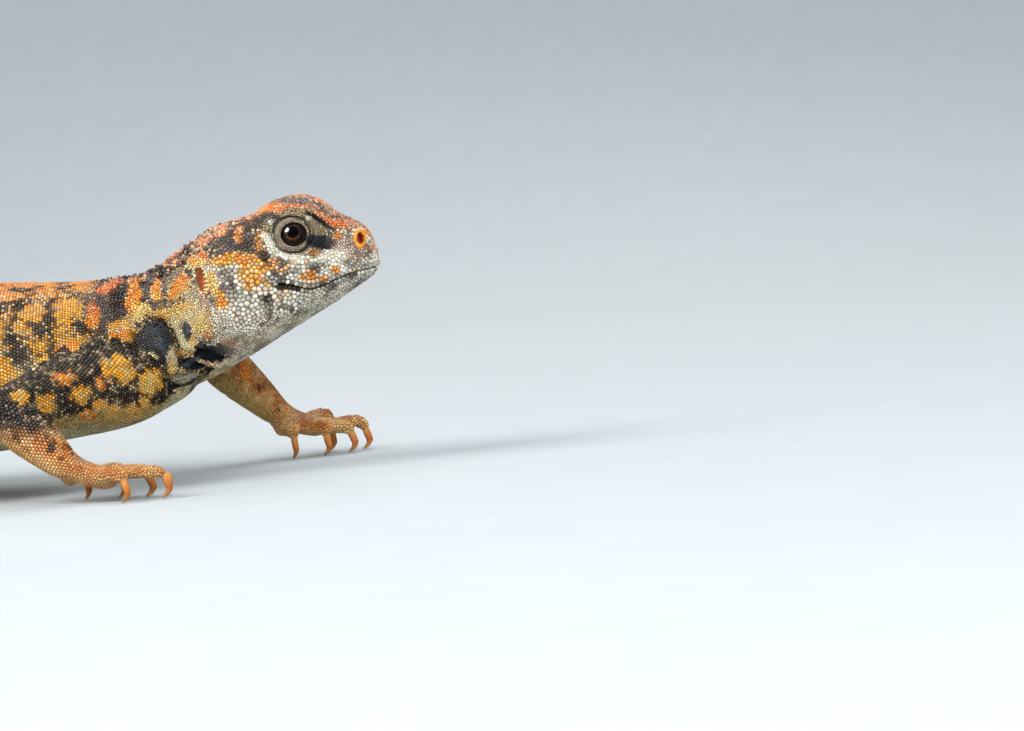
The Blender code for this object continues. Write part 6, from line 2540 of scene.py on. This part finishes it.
def shader_group(
    name: str, inputs: dict[str, tuple[str, object]], outputs: dict[str, str]
) -> tuple[NodeTree, Graph]:
    """An empty node group with named sockets.

    Args:
        name: the group's name.
        inputs: each input's socket type and default.
        outputs: each output's socket type.

    Returns:
        The group and a graph for its nodes.
    """
    tree = bpy.data.node_groups.new(name, "ShaderNodeTree")
    for key, (kind, default) in inputs.items():
        socket = tree.interface.new_socket(name=key, in_out="INPUT", socket_type=kind)
        socket.default_value = default
    for key, kind in outputs.items():
        tree.interface.new_socket(name=key, in_out="OUTPUT", socket_type=kind)
    return tree, Graph(tree)


class Effects:
    """The shader node groups that the finishes share, each built once."""

    def __init__(self) -> None:
        """Builds both groups."""
        self.dapple = self.build_dapple()
        self.grain = self.build_grain()

    def build_dapple(self) -> NodeTree:
        """A colour with fine uneven tone, and a mask of where it is darker.

        Returns:
            The new group.
        """
        inputs = {
            "Colour": ("NodeSocketColor", (0.5, 0.5, 0.5, 1)),
            "Size": ("NodeSocketFloat", 900.0),
            "Strength": ("NodeSocketFloat", 0.3),
        }
        tree, graph = shader_group("dapple", inputs, {"Colour": "NodeSocketColor", "Mask": "NodeSocketFloat"})
        given = graph.add("NodeGroupInput")
        mask = graph.step(graph.noise(given.outputs["Size"], 3.0), 0.35, 0.65)
        share = graph.math("MULTIPLY", mask, given.outputs["Strength"])
        dark = graph.mix(1.0, given.outputs["Colour"], (0.42, 0.38, 0.36, 1), "MULTIPLY")
        colour = graph.mix(share, given.outputs["Colour"], dark)
        graph.add("NodeGroupOutput", {"Colour": colour, "Mask": mask})
        return tree

    def build_grain(self) -> NodeTree:
        """The height of fine grains and wrinkles.

        Returns:
            The new group.
        """
        inputs = {"Size": ("NodeSocketFloat", 1500.0), "Wrinkle": ("NodeSocketFloat", 0.4)}
        tree, graph = shader_group("grain", inputs, {"Height": "NodeSocketFloat"})
        given = graph.add("NodeGroupInput")
        size = given.outputs["Size"]
        where = graph.add("ShaderNodeTexCoord").outputs["Object"]
        cells = graph.add("ShaderNodeTexVoronoi", {"Vector": where, "Scale": size}, feature="F1")
        wrinkle = graph.math("MULTIPLY", graph.noise(size, 4.0), given.outputs["Wrinkle"])
        height = graph.math("SUBTRACT", wrinkle, cells.outputs["Distance"])
        graph.add("NodeGroupOutput", {"Height": height})
        return tree


def new_material(name: str) -> tuple[Material, Graph, Node]:
    """A material with one main shader.

    Args:
        name: the material's name.

    Returns:
        The material, a graph for its nodes and the shader.
    """
    material = bpy.data.materials.new(name)
    material.use_nodes = True
    material.node_tree.nodes.clear()
    graph = Graph(material.node_tree)
    shader = graph.add("ShaderNodeBsdfPrincipled")
    graph.add("ShaderNodeOutputMaterial", {"Surface": shader.outputs[0]})
    return material, graph, shader


@dataclass(frozen=True)
class HideFinish:
    """Skin or scales, coloured by their painted markings."""

    name: str
    grain_size: float
    bump: float
    depth: float
    rough_low: float
    rough_high: float
    dapple: float = 0.3
    darken: float = 1.0
    subsurface: float = 0.04
    subsurface_depth: float = 0.0012
    gloss: float = 0.45

    def material(self, effects: Effects) -> Material:
        """The finish as a material.

        Args:
            effects: the shared node groups.

        Returns:
            The new material.
        """
        made, graph, shader = new_material(self.name)
        paint = graph.stored("paint").outputs["Color"]
        rise = graph.stored("rise").outputs["Fac"]
        dappled = graph.add("ShaderNodeGroup", node_tree=effects.dapple)
        graph.feed(dappled, "Colour", paint)
        graph.feed(dappled, "Size", self.grain_size)
        graph.feed(dappled, "Strength", self.dapple)
        tone = graph.mix(1.0, dappled.outputs["Colour"], (self.darken,) * 3 + (1,), "MULTIPLY")
        grain = graph.add("ShaderNodeGroup", node_tree=effects.grain)
        graph.feed(grain, "Size", self.grain_size)
        inputs = {"Height": grain.outputs["Height"], "Strength": self.bump, "Distance": self.depth}
        bump = graph.add("ShaderNodeBump", inputs)
        graph.feed(shader, "Base Color", tone)
        graph.feed(shader, "Roughness", graph.step(rise, 0.0, 1.0, self.rough_high, self.rough_low))
        graph.feed(shader, "Normal", bump.outputs["Normal"])
        shader.inputs["Subsurface Weight"].default_value = self.subsurface
        shader.inputs["Subsurface Radius"].default_value = (1.0, 0.45, 0.25)
        shader.inputs["Subsurface Scale"].default_value = self.subsurface_depth
        shader.inputs["Specular IOR Level"].default_value = self.gloss
        return made


@dataclass(frozen=True)
class EyeFinish:
    """A wet dark eye: a black pupil, a brown iris that reddens below, and a near-black rim."""

    pupil: float = 0.325
    iris: float = 0.60
    rim: float = 0.80
    fibre_size: float = 1900.0
    black: Colour = (0.002, 0.002, 0.003, 1)
    browns: tuple[Colour, Colour] = ((0.010, 0.007, 0.006, 1), (0.032, 0.018, 0.015, 1))
    reds: tuple[Colour, Colour] = ((0.060, 0.014, 0.008, 1), (0.13, 0.04, 0.022, 1))
    iris_edge: Colour = (0.012, 0.007, 0.006, 1)
    white: Colour = (0.022, 0.014, 0.013, 1)

    def material(self) -> Material:
        """The finish as a material.

        Returns:
            The new material.
        """
        made, graph, shader = new_material("eye")
        out = graph.stored("out").outputs["Fac"]
        low = graph.stored("low").outputs["Fac"]
        fibre = graph.noise(self.fibre_size, 4.0)
        brown = graph.mix(graph.step(fibre, 0.35, 0.65), *self.browns)
        red = graph.mix(graph.step(fibre, 0.3, 0.7), *self.reds)
        near_pupil = graph.step(out, self.pupil + 0.22, self.pupil + 0.06)
        iris = graph.mix(graph.math("MULTIPLY", graph.step(low, 0.55, 0.9), near_pupil), brown, red)
        wavy = graph.math("ADD", out, graph.step(fibre, 0.0, 1.0, -0.03, 0.03))
        inner = graph.mix(graph.step(wavy, self.pupil - 0.02, self.pupil + 0.03), self.black, iris)
        ring = graph.mix(graph.step(wavy, self.iris - 0.16, self.iris), inner, self.iris_edge)
        white = graph.mix(graph.step(wavy, self.rim - 0.1, self.rim), ring, self.white)
        graph.feed(shader, "Base Color", white)
        shader.inputs["Roughness"].default_value = 0.16
        shader.inputs["Coat Weight"].default_value = 1.0
        shader.inputs["Coat Roughness"].default_value = 0.02
        return made


@dataclass(frozen=True)
class Eyes:
    """The eyeballs, each with a slightly bulging cornea."""

    sides: int = 96
    rings: int = 64
    bulge: float = 0.18
    bulge_reach: float = 0.55
    gaze: tuple[float, float, float] = (0.02, 1.0, 0.20)

    def build(self, material: Material) -> None:
        """Makes both eyes in place of the solids' eyes.

        Args:
            material: what they are made of.
        """
        for facing, name in zip(SIDES, ("eye_right", "eye_left")):
            mesh = self.ball(name, facing)
            obj = show(f"{name}_ball", mesh, material)
            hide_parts(name)

    def ball(self, name: str, facing: int) -> Mesh:
        """One eyeball with how far out from the pupil and how low each point lies.

        Args:
            name: the mesh's name.
            facing: the side, -1 for the right and 1 for the left.

        Returns:
            The new mesh.
        """
        axis = unit(np.array(self.gaze) * np.array([1, facing, 1]))
        across = unit(np.cross((0, 0, 1), axis))
        lift = np.cross(axis, across)
        out = np.linspace(0, math.pi, self.rings + 1)[1:-1]
        turn = 2 * math.pi * np.arange(self.sides) / self.sides
        o, t = np.meshgrid(out, turn, indexing="ij")
        radius = EYE_RADIUS + self.bulge * np.exp(-((o / self.bulge_reach) ** 2))
        ring = np.cos(t)[..., None] * across + np.sin(t)[..., None] * lift
        points = (np.cos(o)[..., None] * axis + np.sin(o)[..., None] * ring) * radius[..., None]
        front, back = axis * (EYE_RADIUS + self.bulge), -axis * EYE_RADIUS
        points = np.concatenate([points.reshape(-1, 3), [front, back]]) + eye_centre(facing)
        n, triangles = self.sides, []
        for row, k in product(range(len(out) - 1), range(n)):
            a, b = row * n + k, row * n + (k + 1) % n
            triangles += [(a, a + n, b + n), (a, b + n, b)]
        last = (len(out) - 1) * n
        for k in range(n):
            j = (k + 1) % n
            triangles += [(len(points) - 2, k, j), (len(points) - 1, last + j, last + k)]
        mesh = triangle_mesh(name, points, np.array(triangles))
        value_points(mesh, "out", np.concatenate([o.ravel(), [0, math.pi]]))
        value_points(mesh, "low", np.concatenate([(-np.sin(t) * 0.5 + 0.5).ravel(), [0.5, 0.5]]))
        return mesh


@dataclass(frozen=True)
class Claws:
    """The claws, as smooth copies of the solids' claws, paler towards their tips."""

    levels: int = 2
    puff: float = 0.02
    sides: int = 5
    sunk: float = 1.2
    lowest: float = 0.02

    def build(self, material: Material) -> None:
        """Makes one piece of claws for each foot.

        Args:
            material: what they are made of.
        """
        for kind, side in product(("forefoot", "hindfoot"), ("right", "left")):
            nodes = [f"claw_{kind}_{side}_{number}" for number in range(1, 6)]
            fine = self.smoothed(nodes)
            points, _ = mesh_arrays(fine)
            height = np.empty(len(points), np.float32)
            fine.attributes["height"].data.foreach_get("value", height)
            mesh = triangle_mesh(f"claws_{kind}_{side}", points, mesh_triangles(fine))
            share = ease(0.8, 0.3, height)[:, None]
            horn = Tint.AMBER.linear * 0.85 * share + Tint.TAN.linear * 0.95 * (1 - share)
            tip = ease(0.4, 0.0, height)[:, None]
            paint_points(mesh, "paint", horn * (1 - tip) + Tint.SAND.linear * 0.6 * tip)
            value_points(mesh, "rise", np.full(len(points), 0.8))
            made = show(f"claws_{kind}_{side}", mesh, material)
            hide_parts(*nodes)

    def smoothed(self, nodes: list[str]) -> Mesh:
        """Smooth copies of some claws, a little fuller and rooted deeper, with each point's height.

        Args:
            nodes: the solids' names.

        Returns:
            One mesh of them all.
        """
        shape = bmesh.new()
        heights = []
        for node in nodes:
            points, triangles = node_mesh(node)
            points = points + vertex_normals(points, triangles) * self.puff
            points[:, 2] = np.maximum(points[:, 2], self.lowest)
            order = np.argsort(-points[:, 2])
            root, after = order[: self.sides], order[self.sides : self.sides * 2]
            points[root] += unit(points[root].mean(axis=0) - points[after].mean(axis=0)) * self.sunk
            verts = [shape.verts.new(point) for point in points.tolist()]
            for corners in triangles.tolist():
                shape.faces.new([verts[c] for c in corners])
            heights.append(points[:, 2] / points[:, 2].max())
        source = bpy.data.meshes.new("claws")
        shape.to_mesh(source)
        shape.free()
        value_points(source, "height", np.concatenate(heights))
        obj = bpy.data.objects.new("claws", source)
        bpy.context.scene.collection.objects.link(obj)
        smooth = obj.modifiers.new("smooth", "SUBSURF")
        smooth.levels = smooth.render_levels = self.levels
        return applied(obj)


@dataclass(frozen=True)
class Lamp:
    """One soft area light: its place and aim in metres, its size, power and tint."""

    place: tuple[float, float, float]
    aim: tuple[float, float, float]
    size: float
    watts: float
    tint: tuple[float, float, float] = (1.0, 0.98, 0.95)
    mirrored: bool = True


@dataclass(frozen=True)
class Studio:
    """The pale floor, the soft light and the camera."""

    aim: tuple[float, float, float] = (64.7, 0.0, 18.9)
    distance: float = 0.70
    elevation: float = math.radians(3)
    roll: float = math.radians(-4.55)
    frame_width: float = 1024 * 0.214 * MM
    sensor: float = 36.0
    lamps: tuple[Lamp, ...] = (
        Lamp((-0.70, -0.50, 0.80), (0.1, 0, 0.03), 0.7, 16.0),
        Lamp((0.45, -0.90, 0.50), (0.1, 0, 0.03), 0.8, 10.0, (0.96, 0.98, 1.0), False),
        Lamp((0.3, 0.9, 0.9), (0.1, 0, 0.03), 0.8, 6.0, (1.0, 0.98, 0.95), False),
        Lamp((0.1, 1.1, 3.4), (0.1, 1.5, 0.0), 3.0, 34.0, (1.0, 1.0, 1.0), False),
    )
    air: tuple[float, float, float] = (0.80, 0.87, 0.92)
    air_strength: float = 0.7
    floor_colour: tuple[float, float, float] = (0.46, 0.49, 0.51)
    floor_half: float = 3.6
    floor_front: float = -3.0
    floor_depth: float = 2.6
    backdrop_height: float = 4.2
    curve: float = 1.8
    curve_steps: int = 16

    def build(self) -> None:
        """Sets the stage."""
        self.floor()
        self.light()
        self.camera()

    def light(self) -> None:
        """The lamps and the even light of the air."""
        for number, lamp in enumerate(self.lamps):
            light = bpy.data.lights.new(f"lamp_{number}", "AREA")
            light.shape, light.size, light.energy, light.color = "DISK", lamp.size, lamp.watts, lamp.tint
            obj = bpy.data.objects.new(light.name, light)
            obj.location = lamp.place
            obj.rotation_euler = (Vector(lamp.aim) - obj.location).to_track_quat("-Z", "Y").to_euler()
            obj.visible_glossy = lamp.mirrored
            bpy.context.scene.collection.objects.link(obj)
        world = bpy.data.worlds.new("air")
        world.use_nodes = True
        back = world.node_tree.nodes["Background"]
        back.inputs["Color"].default_value = (*self.air, 1)
        back.inputs["Strength"].default_value = self.air_strength
        world.cycles_visibility.glossy = False
        bpy.context.scene.world = world
        bpy.context.scene.view_settings.view_transform = "Standard"

    def floor(self) -> None:
        """A pale floor that curves up into a backdrop."""
        start, curve = self.floor_depth - self.curve, self.curve
        outline = [(self.floor_front, 0.0), (start, 0.0)]
        for k in range(1, self.curve_steps + 1):
            a = math.pi / 2 * k / self.curve_steps
            outline.append((start + curve * math.sin(a), curve - curve * math.cos(a)))
        outline.append((self.floor_depth, self.backdrop_height))
        points = [(x, y, z) for y, z in outline for x in (-self.floor_half, self.floor_half)]
        faces = [(2 * k, 2 * k + 1, 2 * k + 3, 2 * k + 2) for k in range(len(outline) - 1)]
        mesh = bpy.data.meshes.new("floor")
        mesh.from_pydata(points, [], faces)
        mesh.shade_smooth()
        mesh.materials.append(self.floor_finish())
        obj = bpy.data.objects.new("floor", mesh)
        obj.visible_glossy = False
        bpy.context.scene.collection.objects.link(obj)

    def floor_finish(self) -> Material:
        """A pale matt finish with a faint unevenness.

        Returns:
            The new material.
        """
        made, graph, shader = new_material("floor")
        low = tuple(c * 0.97 for c in self.floor_colour)
        share = graph.step(graph.noise(60.0, 4.0), 0.3, 0.7)
        graph.feed(shader, "Base Color", graph.mix(share, (*low, 1), (*self.floor_colour, 1)))
        shader.inputs["Roughness"].default_value = 0.8
        return made

    def camera(self) -> None:
        """The camera at the photograph's angle, with its framing."""
        aim = Vector(((np.array(self.aim) + SHIFT * np.array([1, 1, 0])) * MM).tolist())
        back = Vector((0, -math.cos(self.elevation), math.sin(self.elevation)))
        place = aim + back * self.distance
        data = bpy.data.cameras.new("camera")
        data.sensor_width = self.sensor
        data.lens = self.sensor * self.distance / self.frame_width
        data.clip_start, data.clip_end = 0.01, 20
        obj = bpy.data.objects.new("camera", data)
        turn = (-back).to_track_quat("-Z", "Y").to_matrix().to_4x4()
        obj.matrix_world = Matrix.Translation(place) @ turn @ Matrix.Rotation(self.roll, 4, "Z")
        bpy.context.scene.collection.objects.link(obj)
        bpy.context.scene.camera = obj


def main() -> None:
    """Builds the animal and its stage, piece by piece."""
    logging.basicConfig(level=logging.INFO, format="%(message)s")
    effects = Effects()
    # The bare skin is darkened to 0.6 of its paint: the darker skin between scales together with painted
    # shade there.
    skin_finish = HideFinish("skin", 1500, 0.5, 0.0002, 0.62, 0.75, 0.35, 0.6).material(effects)
    scale_finish = HideFinish("scales", 2200, 0.25, 0.00008, 0.40, 0.75, 0.28).material(effects)
    claw_finish = HideFinish("claw", 1200, 0.15, 0.00005, 0.32, 0.6, 0.3).material(effects)
    skin = Skin()
    skin.build()
    regions, markings = Regions(), Markings()
    coat = Coat(skin, regions, markings)
    coat.grow()
    coat.build(scale_finish)
    hide = coat.hide(skin_finish)
    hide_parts(*(name for names in FLESH.values() for name in names))
    Whorls().build(scale_finish)
    EarFringe().build(skin, scale_finish)
    Eyes().build(EyeFinish().material())
    Claws().build(claw_finish)
    LOG.info("spines, fringes, eyes and claws: built")
    Studio().build()


if __name__ == "__main__":
    main()
